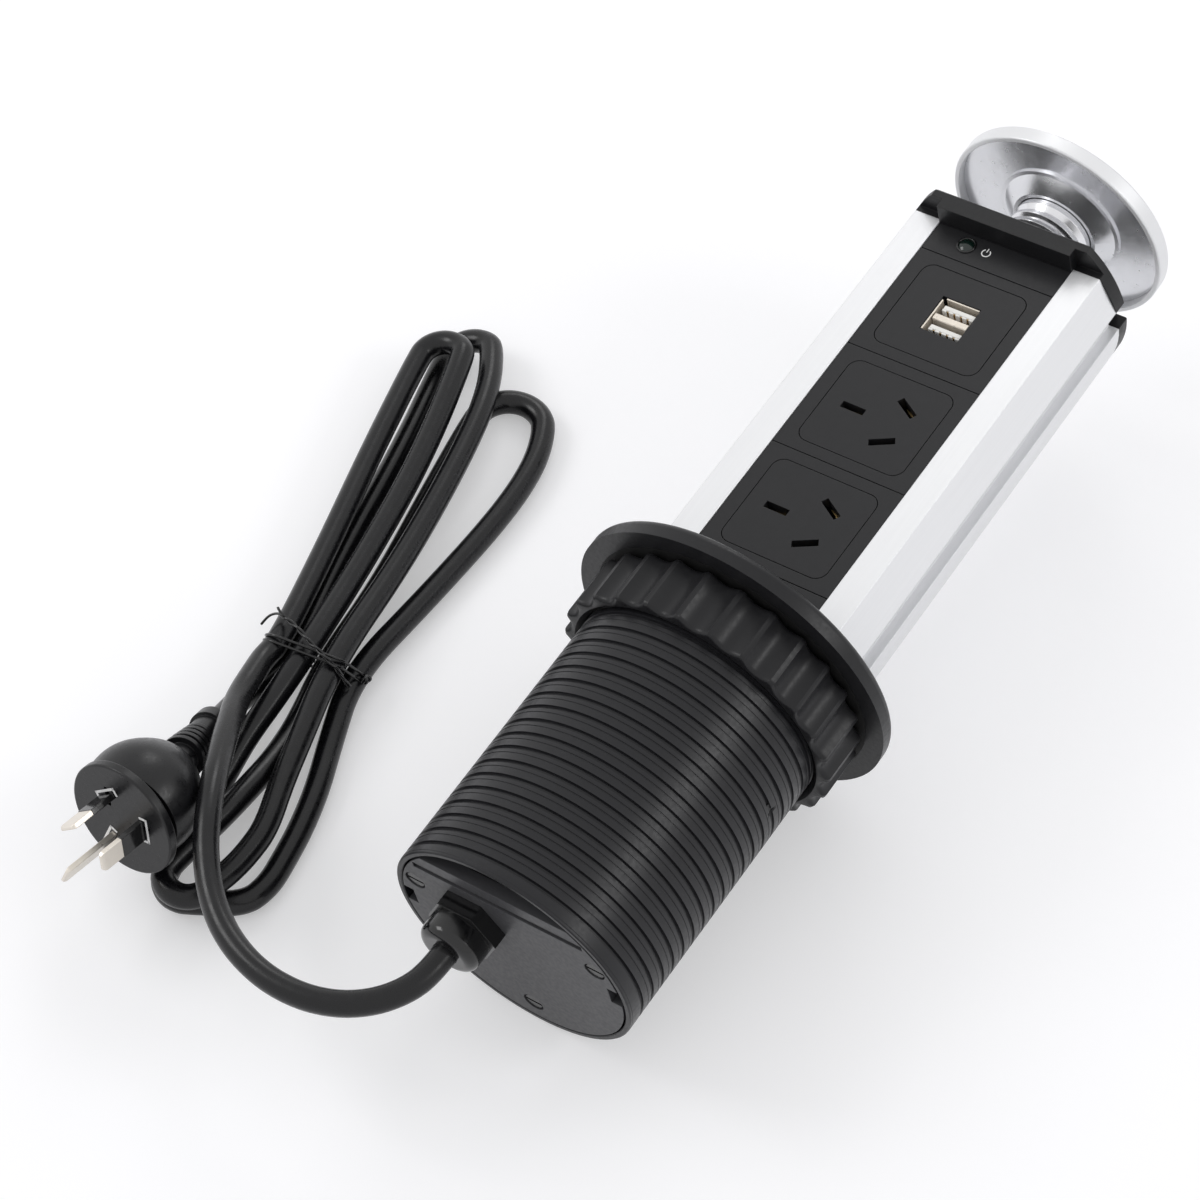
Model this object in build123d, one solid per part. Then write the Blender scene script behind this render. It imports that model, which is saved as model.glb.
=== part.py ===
from build123d import *
from math import atan2, cos, degrees, hypot, pi, radians, sin, sqrt, tan
import os

# A pop up desk socket, lying on its side as on a table, raised out of its sleeve.
# Millimetres.  Each piece is drawn upright about the tower's axis: Z runs up the tower from the underside of the
# flange, which is the worktop's face, the outlets look along -Y, and X runs to the right seen from the front.
# At the end everything is laid down: the row's +Z leaves the table and +X runs towards the lift cap.

# Front modules: one width, one spacing, and a shorter indicator strip on top.  The tower's radius follows from them.
panel_w = 45.59
module_spacing = 40.91
strip_h = 11.6
channel_gap = 0.12
module_gap = 0.3
panel_recess = 0.3
plate_t = 2.4
leg_t = 1.4
leg_reach = 1.6
hook_out = 0.6
hook_gap = 0.1
insert_side = 4.795
insert_end = 3.955
insert_round = 4.0
insert_gap = 0.25
insert_rim = 1.5
insert_rim_t = 1.2
insert_w = panel_w - 2 * insert_side
insert_h = module_spacing - 2 * insert_end

# Tower extrusion
front_y = 17.92
front_land = 9.117
tower_top = 155.0
tower_wall = 1.8
facet_back_y = 4.6
groove_front_y = -4.9
groove_back_y = 2.1
groove_depth = 3.6
port_inset_x = 6.15
port_y = -11.55
rear_port_inset = 7.3
port_r = 3.2
port_hole_r = 1.5
rear_web_w = 3.0
cheek_t = 1.6
cheek_depth = 9.4
tower_r = hypot(panel_w / 2 + front_land, front_y)
groove_x = tower_r - groove_depth
port_x = tower_r - port_inset_x
rear_port_y = tower_r - rear_port_inset

# Sleeve, with its bore for the tower
tower_gap = 0.5
sleeve_wall = 1.85
sleeve_length = 108.4
slip = 0.05
overrun = 1.0
sleeve_bore_r = tower_r + tower_gap
sleeve_r = sleeve_bore_r + sleeve_wall

# Flange collar and the gasket in its underside
flange_reach = 12.28
flange_t = 5.8
flange_round = 2.4
collar_step = 2.8
gasket_start = 1.45
gasket_edge = 6.03
gasket_t = 1.0
flange_r = sleeve_r + flange_reach
gasket_inner_r = sleeve_r + gasket_start
gasket_r = flange_r - gasket_edge

# Guide pegs, which run in the tower's side grooves
peg_drop = 38.0
peg_shank_r = 1.6
peg_head_r = 3.2
peg_recess = 0.5
peg_tip_clear = 0.5
peg_bore_clear = 0.2

# Clamp nut
nut_reach = 5.85
nut_scallop_depth = 2.3
nut_lobe_count = 26
nut_scallop_r = 3.4
nut_turn_angle = -3.3
nut_gap = 1.0
nut_h = 17.5
nut_thread_clear = 0.3
nut_lead_in = 1.6
nut_edge = 0.6
nut_r = sleeve_r + nut_reach
nut_valley_r = nut_r - nut_scallop_depth

# Outlets: three flat pins, the two slanting ones towards +X
pattern_x = 2.4
pin_side = 6.86
pin_rise = 3.96
earth_drop = 10.31
pin_slant_angle = 30.0
slot_w = 7.8
slot_t = 2.3
housing_side = 2.0
housing_end = 1.5
housing_round = 3.0
housing_t = 11.0
pocket_w = 8.2
pocket_t = 4.4
contact_w = 6.4
contact_gap = 1.75
contact_leaf = 0.6
contact_front = 0.8
contact_base = 0.8
bar_w = 5.0
bar_t = 1.2
bar_side = 5.6
bar_end = 9.0
housing_w = insert_w - 2 * housing_side
housing_h = insert_h - 2 * housing_end

# Double USB outlet
usb_x = -0.1
usb_rise = 0.255
usb_w = 13.0
usb_h = 13.6
usb_gap = 0.15
shell_t = 0.5
shell_recess = 0.4
tongue_t = 1.9
tongue_w = 11.2
tongue_recess = 1.2
usb_contact_count = 4
usb_contact_w = 1.0
usb_contact_t = 0.25
usb_contact_step = 2.3
usb_contact_recess = 1.0
board_side = 2.0
board_end = 0.5
board_t = 1.6
board_w = insert_w + 2 * board_side
board_h = insert_h + 2 * board_end

# Indicator
lens_x = -10.8
lens_rise = 6.3
lens_r = 2.5
lens_rim_r = 3.1
lens_rim_t = 0.8
lens_dome = 0.9
lens_body = 6.0
lens_gap = 0.1
strip_board_h = 9.0

# End cap
cap_t = 5.4
cap_brow = 7.08
cap_lip_drop = 1.0
cap_pocket_h = 2.2
cap_edge = 0.8
cap_top = tower_top + cap_t
cap_front_y = front_y + cap_brow

# Neck: a ribbed chrome post
neck_foot_r = 13.4
neck_foot_h = 2.0
neck_rib_r = 12.6
neck_root_r = 11.5
neck_rib_count = 4
neck_h = 15.1
neck_flare_h = 1.7
neck_collar_r = 12.7
neck_spigot_r = 12.2
neck_groove_z = cap_top + neck_h
neck_collar_z = neck_groove_z + neck_flare_h

# Lift cap and its dished lining
lift_inset = 0.6
lift_gap = 19.9
lift_h = 5.3
lift_wall = 1.6
lift_plate = 1.2
lift_edge = 0.6
dish_rise = 3.0
dish_step_r = 20.5
dish_cone_r = 19.2
dish_step = 0.7
dish_lip_r = 14.2
dish_lip_drop = 1.2
dish_bore_r = 12.96
dish_gap = 0.05
lift_r = tower_r - lift_inset
lift_low = cap_top + lift_gap
lift_top = lift_low + lift_h
dish_z = lift_low + dish_rise
dish_lip_z = lift_low - dish_lip_drop

# Base plate, gland and screws
base_t = 4.0
base_flat_inset = 9.6
base_slot_inset = 15.1
base_slot_w = 2.4
base_slot_end = 8.1
base_slot_depth = 0.8
screw_r = 1.45
screw_head_r = 2.8
screw_head_t = 1.4
screw_recess = 1.7
screw_recess_r = 3.3
screw_grip = 10.0
screw_slot_w = 0.8
screw_slot_depth = 0.6
gland_x = -12.2
gland_y = -6.1
gland_flats = 20.0
gland_hex_h = 5.0
gland_dome_h = 8.0
gland_dome_r = 9.4
gland_shank_r = 6.5
gland_bore_r = 5.3
gland_thread_h = 9.0
gland_dome_round = 3.0
locknut_flats = 16.0
locknut_h = 4.0
seal_h = 9.0
tower_low = base_t - sleeve_length
base_front_y = tower_r - base_flat_inset
base_slot_y = tower_r - base_slot_inset
base_slot_x = tower_r - base_slot_end

# Cord and its three cores
cord_r = 3.8
cord_slip = 0.1
sheath_stub = 24.0
core_r = 1.3
core_ring_r = 2.1
core_straight = 14.0
core_bend_r = 12.0
core_overlap = 6.0

# Where the gland's mouth lies with the dimensions above (row frame).  The cord, its tie and its plug go with the mouth
# if they change, and stay on the table.
mouth_place = (-154.387, 12.968, 41.441)

# The cord's free lead, from the gland over the hank's lower loops (row frame)
lead_points = (
    (-161.9, 13.0, 40.6),
    (-169.8, 15.6, 40.0),
    (-177.2, 21.2, 39.2),
    (-182.7, 29.4, 38.3),
    (-185.8, 40.2, 37.4),
    (-185.6, 53.6, 36.6),
    (-180.9, 68.0, 36.2),
    (-172.6, 80.0, 36.4),
    (-162.2, 89.6, 37.2),
    (-153.3, 95.6, 38.2),
    (-142.5, 102.1, 37.0),
    (-130.3, 109.1, 32.5),
    (-117.8, 116.2, 26.6),
    (-106.2, 122.9, 19.8),
    (-94.9, 126.1, 16.4),
)
lead_share = 0.45
gap_step = 2.0
gap_skip = 26.0
straight_angle = 0.05
tiny_share = 1e-9

# The hank: six strands through one waist, three folds at the flange's end and two at the plug's end (row frame).
# A strand's place at the waist is its distance across from the middle, and its height.
waist_x = -76.9
waist_y = 116.4
waist_mid_z = 9.6
waist_turn_angle = 10.0
waist_lean_angle = 21.3
waist_low_z = 5.8
waist_high_z = 14.0
waist_slots = {
    "in": (11.6, waist_high_z),
    "second": (2.9, waist_high_z),
    "third": (-9.8, waist_low_z),
    "fourth": (-1.0, waist_low_z),
    "fifth": (-5.9, waist_high_z),
    "last": (8.9, waist_low_z),
}

# Each fold: from and to which slot, first and last heading in degrees, arc steps, centre, radius, and heights at the
# arc's start and end
fold_slots = (("in", "second"), ("second", "third"), ("third", "fourth"), ("fourth", "fifth"), ("fifth", "last"))
fold_turn_angles = ((13, -150), (200, 314), (35, 193), (200, 372), (50, 193))
fold_step_counts = (5, 4, 5, 4, 5)
fold_centres = ((35.96, 153.0), (-157.04, 102.6), (31.96, 124.4), (-159.74, 99.8), (46.16, 149.8))
fold_radii = (7.4, 7.6, 11.5, 7.6, 8.0)
fold_heights = ((12.6, 17.0), (3.9, 3.9), (3.9, 3.9), (12.0, 12.0), (9.8, 3.9))

# Points on each fold's way in and way out: shares of the way, offsets to its left, and heights
fold_in_shares = (
    (0.33, 0.67),
    (0.21, 0.4, 0.58, 0.78),
    (0.33, 0.67, 0.87),
    (0.23, 0.41, 0.56, 0.76),
    (0.33, 0.67, 0.86),
)
fold_in_asides = (
    (0.2, 0.7),
    (-0.5, -1.8, -1.6, -0.8),
    (-3.2, -6.2, -5.0),
    (3.2, 4.9, 5.3, 4.2),
    (-5.2, -7.2, -5.9),
)
fold_in_heights = (
    (12.0, 12.0),
    (12.0, 9.5, 5.8, 3.9),
    (3.9, 3.9, 3.9),
    (3.9, 6.4, 9.8, 12.0),
    (12.0, 12.0, 12.0),
)
fold_out_shares = (
    (0.33, 0.67),
    (0.07, 0.17, 0.28, 0.41, 0.57, 0.74),
    (0.33, 0.67),
    (0.07, 0.16, 0.28, 0.47, 0.63),
    (0.33, 0.67),
)
fold_out_asides = (
    (3.0, 2.0),
    (-13.5, -16.2, -15.5, -14.2, -11.2, -6.3),
    (0.6, 1.8),
    (-2.6, -4.6, -5.9, -3.5, -2.3),
    (0.8, -1.7),
)
fold_out_heights = (
    (14.4, 12.8),
    (3.9, 3.9, 3.9, 3.9, 3.9, 3.9),
    (3.9, 3.9),
    (12.0, 12.0, 12.0, 12.0, 12.0),
    (3.9, 3.9),
)
tail_points = ((-88.0, 127.6, 3.95), (-99.2, 128.6, 6.3))

# The wire tie round the waist and its twisted ends (row frame)
tie_wire_r = 0.55
tie_gap = 1.1
tie_spacing = 2.2
tie_knot_r = 1.9
tie_knot_across = -15.7
tie_knot_z = 7.0
tie_twist_r = 0.8
tie_twist_bend = 3.0
tie_end_bend = 1.2
tie_twist = ((-79.6, 117.2, 19.0), (-76.9, 123.5, 19.6), (-75.6, 129.2, 19.4))
tie_long_end = ((-75.9, 132.7, 18.6), (-77.1, 134.4, 17.6), (-79.1, 135.2, 16.0))
tie_short_end = (-74.3, 132.4, 20.4)

# Plug (row frame)
plug_centre = (-165.98, 116.78, 33.61)
plug_out_shares = (-0.9805, 0.05, 0.1901)
plug_up_shares = (0.1657, -0.3095, 0.9363)
plug_disc_r = 18.2
plug_disc_t = 3.0
plug_disc_edge = 0.6
plug_back_shares = (0.9672, 0.1302, -0.2183)
plug_back_start = 2.0
plug_back_profile = (
    (16.0, 1.0),
    (16.9, 5.0),
    (17.1, 10.0),
    (15.8, 15.0),
    (12.8, 20.0),
    (9.2, 24.0),
    (6.0, 26.0),
)
relief_start = (-151.26, 116.04, 30.76)
relief_start_shares = (0.9663, 0.2013, -0.161)
relief_end = (-115.44, 125.3, 14.2)
relief_end_shares = (0.8447, 0.1988, -0.4969)
relief_core_r = 4.9
relief_root_r = 6.7
relief_rib_count = 5
relief_rib_t = 1.5
relief_rib_spacing = 2.9
relief_first_rib = 17.5
relief_rib_growth = 0.35
relief_collar_r = 5.9
relief_collar_t = 4.5
pin_w = 6.35
pin_t = 1.63
pin_length = 17.06
earth_length = 19.94
pin_root = 4.0
pin_sleeve_length = 9.0
pin_sleeve_wall = 0.35
pin_tip = 1.6

side_pair = (-1, 1)
port_places = ((-port_x, port_y), (port_x, port_y), (0.0, rear_port_y))

face_y = -front_y + panel_recess
plate_back = face_y + plate_t
rim_back = plate_back + insert_rim_t
housing_back = rim_back + housing_t
base_back = housing_back + contact_base
bar_back = base_back + bar_t
panel_half = panel_w / 2
channel_half = panel_half + channel_gap
strip_low = tower_top - strip_h
usb_low = strip_low - module_spacing
upper_low = usb_low - module_spacing
lower_low = upper_low - module_spacing
usb_z = usb_low + module_spacing / 2 + usb_rise
lens_z = strip_low + lens_rise
sleeve_low = -sleeve_length


def block(x0, x1, y0, y1, z0, z1):
    """A box between two corners."""
    return Pos((x0 + x1) / 2, (y0 + y1) / 2, (z0 + z1) / 2) * Box(x1 - x0, y1 - y0, z1 - z0)


def rod(radius, low, high, x=0.0, y=0.0):
    """An upright cylinder."""
    return extrude(Pos(x, y, low) * Circle(radius), high - low)


def ring(outer, inner, low, high):
    """An upright tube about the tower's axis."""
    return extrude(Pos(0, 0, low) * (Circle(outer) - Circle(inner)), high - low)


def turned(points):
    """A body of revolution about the tower's axis, from (radius, height) corners."""
    outline = Polyline(*[(radius, 0, height) for radius, height in points], close=True)
    return revolve(make_face(outline), Axis.Z)


def slab(sketch, front, back):
    """Extrudes a sketch, drawn on the front with X across and Y up the tower, from one depth to another."""
    return extrude(Plane.XZ.offset(-front) * sketch, amount=front - back)


def front_cut(depth):
    """The half plane in front of a chord across the tower."""
    return Pos(0, -depth - tower_r) * Rectangle(4 * tower_r, 2 * tower_r)


def side_grooves(inset=0.0):
    """The guide grooves down both sides of the tower, as cutters, or as they are at a depth inside the wall."""
    width = groove_back_y - groove_front_y + 2 * inset
    middle = (groove_back_y + groove_front_y) / 2
    across = groove_x - inset + tower_r / 2
    return Sketch() + [Pos(side * across, middle) * Rectangle(tower_r, width) for side in side_pair]


def tower_outline(inset=0.0):
    """Half round outline with a flat front, a facet and a guide groove at each side, or the same inside the wall."""
    front_x = sqrt(tower_r**2 - front_y**2)
    back_x = sqrt(tower_r**2 - facet_back_y**2)
    slant = degrees(atan2(back_x - front_x, front_y - facet_back_y))
    outline = Circle(tower_r - inset) - front_cut(front_y - inset)
    for side in side_pair:
        middle = Pos(side * (front_x + back_x) / 2, -(front_y + facet_back_y) / 2)
        beyond = Pos(side * (tower_r / 2 - inset), 0)
        outline -= middle * Rot(0, 0, -side * slant) * beyond * Rectangle(tower_r, 2 * tower_r)
    return outline - side_grooves(inset)


def tower_section():
    """The extrusion's wall, with the cheeks of its front channel and three screw ports."""
    section = tower_outline() - tower_outline(tower_wall)
    for side in side_pair:
        cheek = Pos(side * (channel_half + cheek_t / 2), -front_y + cheek_depth / 2)
        section += cheek * Rectangle(cheek_t, cheek_depth)
    for x, y in port_places:
        section += Pos(x, y) * Circle(port_r)
    web = tower_r - tower_wall - rear_port_y
    section += Pos(0, rear_port_y + web / 2) * Rectangle(rear_web_w, web + tower_wall / 2)
    section -= Pos(0, -front_y) * Rectangle(2 * channel_half, 2 * cheek_depth - tower_wall)
    for x, y in port_places:
        section -= Pos(x, y) * Circle(port_hole_r)
    return section & tower_outline()


def tower_extrusion():
    return extrude(Pos(0, 0, tower_low) * tower_section(), tower_top - tower_low)


def front_module(low, height):
    """A front plate with two legs that hook behind the channel's cheeks."""
    z0 = low + module_gap / 2
    z1 = low + height - module_gap / 2
    leg_back = -front_y + cheek_depth + leg_reach
    body = block(-panel_half, panel_half, face_y, plate_back, z0, z1)
    for side in side_pair:
        inner = side * (panel_half - leg_t)
        outer = side * panel_half
        hook = side * (panel_half + hook_out)
        body += block(min(inner, outer), max(inner, outer), plate_back, leg_back, z0, z1)
        hook_front = -front_y + cheek_depth + hook_gap
        body += block(min(inner, hook), max(inner, hook), hook_front, leg_back, z0, z1)
    return body


def insert_sketch(grow=0.0):
    """The rounded square of a module's insert, grown or shrunk all round."""
    return RectangleRounded(insert_w + 2 * grow, insert_h + 2 * grow, insert_round + grow)


def module_frame(low):
    middle = Pos(0, low + module_spacing / 2)
    opening = slab(middle * insert_sketch(), face_y - overrun, plate_back + overrun)
    return front_module(low, module_spacing) - opening


def module_insert(low):
    """An insert that seats from behind on a rim against its frame."""
    middle = Pos(0, low + module_spacing / 2)
    body = slab(middle * insert_sketch(-insert_gap), face_y, plate_back)
    return body + slab(middle * insert_sketch(insert_rim), plate_back, rim_back)


def pin_places():
    """Each pin of the pattern: its place across and up from the pattern's centre, and the turn of its long side."""
    live = (pin_rise, pin_side, -pin_slant_angle)
    neutral = (pin_rise, -pin_side, pin_slant_angle)
    earth = (-earth_drop, 0, 0)
    return {"live": live, "neutral": neutral, "earth": earth}


def outlet_middle(low):
    return Pos(pattern_x, low + module_spacing / 2)


def pin_slots(low, width, thickness):
    """Three rectangles in the pin pattern of one outlet."""
    slots = Sketch()
    for x, z, turn in pin_places().values():
        slots += outlet_middle(low) * Pos(x, z) * Rot(0, 0, turn) * Rectangle(width, thickness)
    return slots


def outlet_insert(low):
    slots = slab(pin_slots(low, slot_w, slot_t), face_y - overrun, rim_back + overrun)
    return module_insert(low) - slots


def outlet_housing(low):
    """The insulating block behind an outlet, with a pocket for each contact."""
    outline = Pos(0, low + module_spacing / 2) * RectangleRounded(housing_w, housing_h, housing_round)
    pockets = slab(pin_slots(low, pocket_w, pocket_t), rim_back - overrun, housing_back + overrun)
    return slab(outline, rim_back, housing_back) - pockets


def bar_x(name):
    """Where the bar of one pole runs: live to the right, neutral in the middle, earth to the left."""
    rise = pattern_x + pin_rise
    places = {"live": rise + bar_side, "neutral": rise - bar_side, "earth": pattern_x - earth_drop}
    return places[name]


def outlet_contacts(low):
    """Three spring clips, each two leaves on a base that reaches to its pole's bar."""
    clips = Part()
    for name, (x, z, turn) in pin_places().items():
        middle = outlet_middle(low) * Pos(x, z) * Rot(0, 0, turn)
        for side in side_pair:
            leaf = middle * Pos(0, side * (contact_gap + contact_leaf) / 2) * Rectangle(contact_w, contact_leaf)
            clips += slab(leaf, rim_back + contact_front, housing_back)
        height = contact_gap + 2 * contact_leaf
        clips += slab(middle * Rectangle(contact_w, height), housing_back, base_back)
        reach = bar_x(name) - pattern_x - x
        foot = outlet_middle(low) * Pos(x + reach / 2, z) * Rectangle(abs(reach) + bar_w, height)
        clips += slab(foot, housing_back, base_back)
    return clips


def bar_reach(name):
    """Height span of a pole's bar: the live and neutral bars run on up to the charger board."""
    low = lower_low + bar_end
    high = upper_low + module_spacing - bar_end
    if name != "earth":
        high = usb_z - board_h / 2 + bar_end / 2
    return low, high


def pole_bar(name):
    low, high = bar_reach(name)
    middle = bar_x(name)
    return block(middle - bar_w / 2, middle + bar_w / 2, base_back, bar_back, low, high)


def usb_sketch(grow=0.0):
    return Pos(usb_x, usb_z) * Rectangle(usb_w + 2 * grow, usb_h + 2 * grow)


def usb_insert():
    return module_insert(usb_low) - slab(usb_sketch(), face_y - overrun, rim_back + overrun)


def port_middles():
    """Middle heights of the two stacked ports."""
    step = (usb_h - 2 * usb_gap - shell_t) / 4
    return (usb_z - step, usb_z + step)


def usb_shell():
    """The stamped shells of both ports: an outer wall and the wall between them."""
    outer = usb_sketch(-usb_gap)
    room = Sketch()
    width = usb_w - 2 * usb_gap - 2 * shell_t
    height = (usb_h - 2 * usb_gap - 3 * shell_t) / 2
    for z in port_middles():
        room += Pos(usb_x, z) * Rectangle(width, height)
    walls = slab(outer - room, face_y + shell_recess, base_back - board_t - shell_t)
    return walls + slab(outer, base_back - board_t - shell_t, base_back - board_t)


def usb_tongues():
    """The two insulating tongues, each at the upper side of its port."""
    tongues = Part()
    for z in port_middles():
        outline = Pos(usb_x, z) * Rectangle(tongue_w, tongue_t)
        tongues += slab(outline, face_y + tongue_recess, base_back - board_t - shell_t)
    return tongues


def usb_contacts():
    """Four flat contacts under each tongue."""
    contacts = Part()
    span = (usb_contact_count - 1) / 2
    for z in port_middles():
        for index in range(usb_contact_count):
            x = usb_x + (index - span) * usb_contact_step
            low = z - tongue_t / 2 - usb_contact_t
            strip = Pos(x, low + usb_contact_t / 2) * Rectangle(usb_contact_w, usb_contact_t)
            start = face_y + tongue_recess + usb_contact_recess
            contacts += slab(strip, start, base_back - board_t - shell_t)
    return contacts


def charger_board():
    middle = usb_low + module_spacing / 2
    half_w = board_w / 2
    half_h = board_h / 2
    return block(-half_w, half_w, base_back - board_t, base_back, middle - half_h, middle + half_h)


def indicator_strip():
    hole = slab(Pos(lens_x, lens_z) * Circle(lens_r + lens_gap), face_y - overrun, plate_back + overrun)
    return front_module(strip_low, strip_h) - hole


def indicator_lens():
    """A small domed lens with a rim behind the strip and a body down to its board."""
    middle = Pos(lens_x, lens_z)
    lens = slab(middle * Circle(lens_r), face_y, plate_back)
    lens += slab(middle * Circle(lens_rim_r), plate_back, plate_back + lens_rim_t)
    lens += slab(middle * Circle(lens_r), plate_back + lens_rim_t, plate_back + lens_rim_t + lens_body)
    radius = (lens_r**2 + lens_dome**2) / (2 * lens_dome)
    dome = Pos(lens_x, face_y - lens_dome + radius, lens_z) * Sphere(radius)
    return lens + (dome & slab(middle * Circle(lens_r), face_y - lens_dome, face_y))


def indicator_board():
    front = plate_back + lens_rim_t + lens_body
    half_w = insert_w / 2
    low = lens_z - strip_board_h / 2
    return block(-half_w, half_w, front, front + board_t, low, low + strip_board_h)


def lower_panel():
    return front_module(tower_low, lower_low - tower_low)


def end_cap():
    """Black cap with a lip that overhangs the front, pocketed at both ends, notched for the guides."""
    outline = Circle(tower_r) - front_cut(cap_front_y) - side_grooves()
    body = extrude(Pos(0, 0, tower_top) * outline, cap_top - tower_top)
    lip = block(-channel_half, channel_half, -cap_front_y, -front_y, tower_top - cap_lip_drop, tower_top)
    top = body.faces().sort_by(Axis.Z)[-1]
    body = chamfer(top.edges(), cap_edge)
    body += lip
    for side in side_pair:
        inner = side * channel_half
        outer = side * tower_r
        body -= block(
            min(inner, outer), max(inner, outer), -cap_front_y - overrun, -front_y, tower_top - overrun,
            tower_top + cap_pocket_h,
        )
    return body - screw_holes(cap_top, tower_top, screw_recess)


def screw_holes(outer, inner, recess):
    """Clearance holes with head recesses at the three screw ports, sunk from one face towards another."""
    cutters = Part()
    way = 1 if outer > inner else -1
    for x, y in port_places:
        through = sorted((outer + way * overrun, inner - way * overrun))
        sunk = sorted((outer + way * overrun, outer - way * recess))
        cutters += rod(screw_r + slip, through[0], through[1], x, y)
        cutters += rod(screw_recess_r, sunk[0], sunk[1], x, y)
    return cutters


def screws(outer, inner, recess):
    """Three slotted pan head screws into the ports of the tower."""
    group = Part()
    way = 1 if outer > inner else -1
    seat = outer - way * recess
    for x, y in port_places:
        head = sorted((seat, seat + way * screw_head_t))
        shank = sorted((seat, inner - way * screw_grip))
        slot = sorted((seat + way * (screw_head_t - screw_slot_depth), seat + way * (screw_head_t + overrun)))
        half = screw_head_r + overrun
        screw = rod(screw_head_r, head[0], head[1], x, y) + rod(screw_r, shank[0], shank[1], x, y)
        cut = block(x - half, x + half, y - screw_slot_w / 2, y + screw_slot_w / 2, slot[0], slot[1])
        group += screw - cut
    return group


def neck():
    """Ribbed post from the end cap up into the lift cap."""
    points = [(0, cap_top), (neck_foot_r, cap_top), (neck_foot_r, cap_top + neck_foot_h)]
    low = cap_top + neck_foot_h
    pitch = (neck_groove_z - low) / neck_rib_count
    for index in range(neck_rib_count):
        start = low + index * pitch
        points.append((neck_root_r, start))
        points.append((neck_rib_r, start + pitch / 3))
        points.append((neck_rib_r, start + 2 * pitch / 3))
    points.append((neck_root_r, neck_groove_z))
    points.append((neck_collar_r, neck_collar_z))
    points.append((neck_collar_r, dish_lip_z - dish_gap))
    points.append((neck_spigot_r, dish_lip_z - dish_gap))
    points.append((neck_spigot_r, lift_top - lift_plate))
    points.append((0, lift_top - lift_plate))
    return turned(points)


def lift_cap():
    """The outer cap: a flat top and a short rim."""
    ceiling = lift_top - lift_plate
    inner = lift_r - lift_wall
    inside = [(0, ceiling), (inner, ceiling), (inner, lift_low)]
    body = turned(inside + [(lift_r, lift_low), (lift_r, lift_top), (0, lift_top)])
    edges = body.edges().filter_by(GeomType.CIRCLE).sort_by(SortBy.RADIUS)[-2:]
    return fillet(edges, lift_edge)


def cap_dish():
    """The lining under the cap: a flat ring, a step and a cone down to the lip round the neck."""
    ceiling = lift_top - lift_plate
    points = [
        (dish_bore_r, ceiling),
        (lift_r - lift_wall - dish_gap, ceiling),
        (lift_r - lift_wall - dish_gap, dish_z),
        (dish_step_r, dish_z),
        (dish_step_r, dish_z - dish_step),
        (dish_cone_r, dish_z - dish_step),
        (dish_lip_r, dish_lip_z),
        (dish_bore_r, dish_lip_z),
    ]
    return turned(points)


def threaded_sleeve():
    """The thin sleeve under the flange, drilled for its guide pegs."""
    body = ring(sleeve_r, sleeve_bore_r, sleeve_low, collar_step)
    return body - peg_cylinders(peg_shank_r + slip, sleeve_bore_r - overrun, sleeve_r + overrun)


def peg_cylinders(radius, inner, outer):
    """A cylinder along X on each side, at the pegs' height and at the middle of the guide grooves."""
    y = (groove_front_y + groove_back_y) / 2
    pegs = Part()
    for side in side_pair:
        start = Plane(origin=(side * inner, y, -peg_drop), x_dir=(0, 1, 0), z_dir=(side, 0, 0))
        pegs += extrude(start * Circle(radius), outer - inner)
    return pegs


def guide_pegs():
    """Stepped pegs: the shank sits in the sleeve's wall and the head runs in the tower's groove."""
    y = (groove_front_y + groove_back_y) / 2
    head_outer = sqrt(sleeve_bore_r**2 - (abs(y) + peg_head_r)**2) - peg_bore_clear
    head = peg_cylinders(peg_head_r, groove_x + peg_tip_clear, head_outer)
    return head + peg_cylinders(peg_shank_r, head_outer, sleeve_r - peg_recess)


def flange_collar():
    """The round flange that rests on the worktop, stepped over the sleeve's top, with a seat for its gasket."""
    step_r = sleeve_r + slip
    points = [
        (step_r, 0),
        (gasket_inner_r - slip, 0),
        (gasket_inner_r - slip, gasket_t),
        (gasket_r + slip, gasket_t),
        (gasket_r + slip, 0),
        (flange_r, 0),
        (flange_r, flange_t),
        (sleeve_bore_r, flange_t),
        (sleeve_bore_r, collar_step),
        (step_r, collar_step),
    ]
    body = turned(points)
    top_edge = body.edges().filter_by(GeomType.CIRCLE).sort_by(Axis.Z)[-2:].sort_by(SortBy.RADIUS)[-1]
    return fillet(top_edge, flange_round)


def flange_gasket():
    return ring(gasket_r, gasket_inner_r, 0, gasket_t)


def clamp_nut():
    """The lobed ring nut: a scalloped rim, a bore that clears the sleeve's thread and a lead-in below."""
    top = -nut_gap
    low = top - nut_h
    outline = Circle(nut_r)
    for index in range(nut_lobe_count):
        angle = nut_turn_angle + index * 360 / nut_lobe_count
        outline -= Rot(0, 0, angle) * Pos(0, -(nut_valley_r + nut_scallop_r)) * Circle(nut_scallop_r)
    body = extrude(Pos(0, 0, low) * outline, nut_h)
    bore = sleeve_r + nut_thread_clear
    body -= rod(bore, low - overrun, top + overrun)
    cone = [
        (0, low - nut_edge),
        (bore + nut_lead_in + nut_edge, low - nut_edge),
        (bore, low + nut_lead_in),
        (0, low + nut_lead_in),
    ]
    return body - turned(cone)


def base_plate():
    """The plate that closes the tower's foot, with the gland's hole and three screw holes."""
    outline = Circle(tower_r) - front_cut(base_front_y) - side_grooves()
    body = extrude(Pos(0, 0, sleeve_low) * outline, base_t)
    body -= rod(gland_shank_r + slip, sleeve_low - overrun, tower_low + overrun, gland_x, gland_y)
    body -= block(
        -base_slot_x, base_slot_x, -base_slot_y - base_slot_w / 2, -base_slot_y + base_slot_w / 2,
        sleeve_low - overrun, sleeve_low + base_slot_depth,
    )
    return body - screw_holes(sleeve_low, tower_low, screw_recess)


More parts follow.
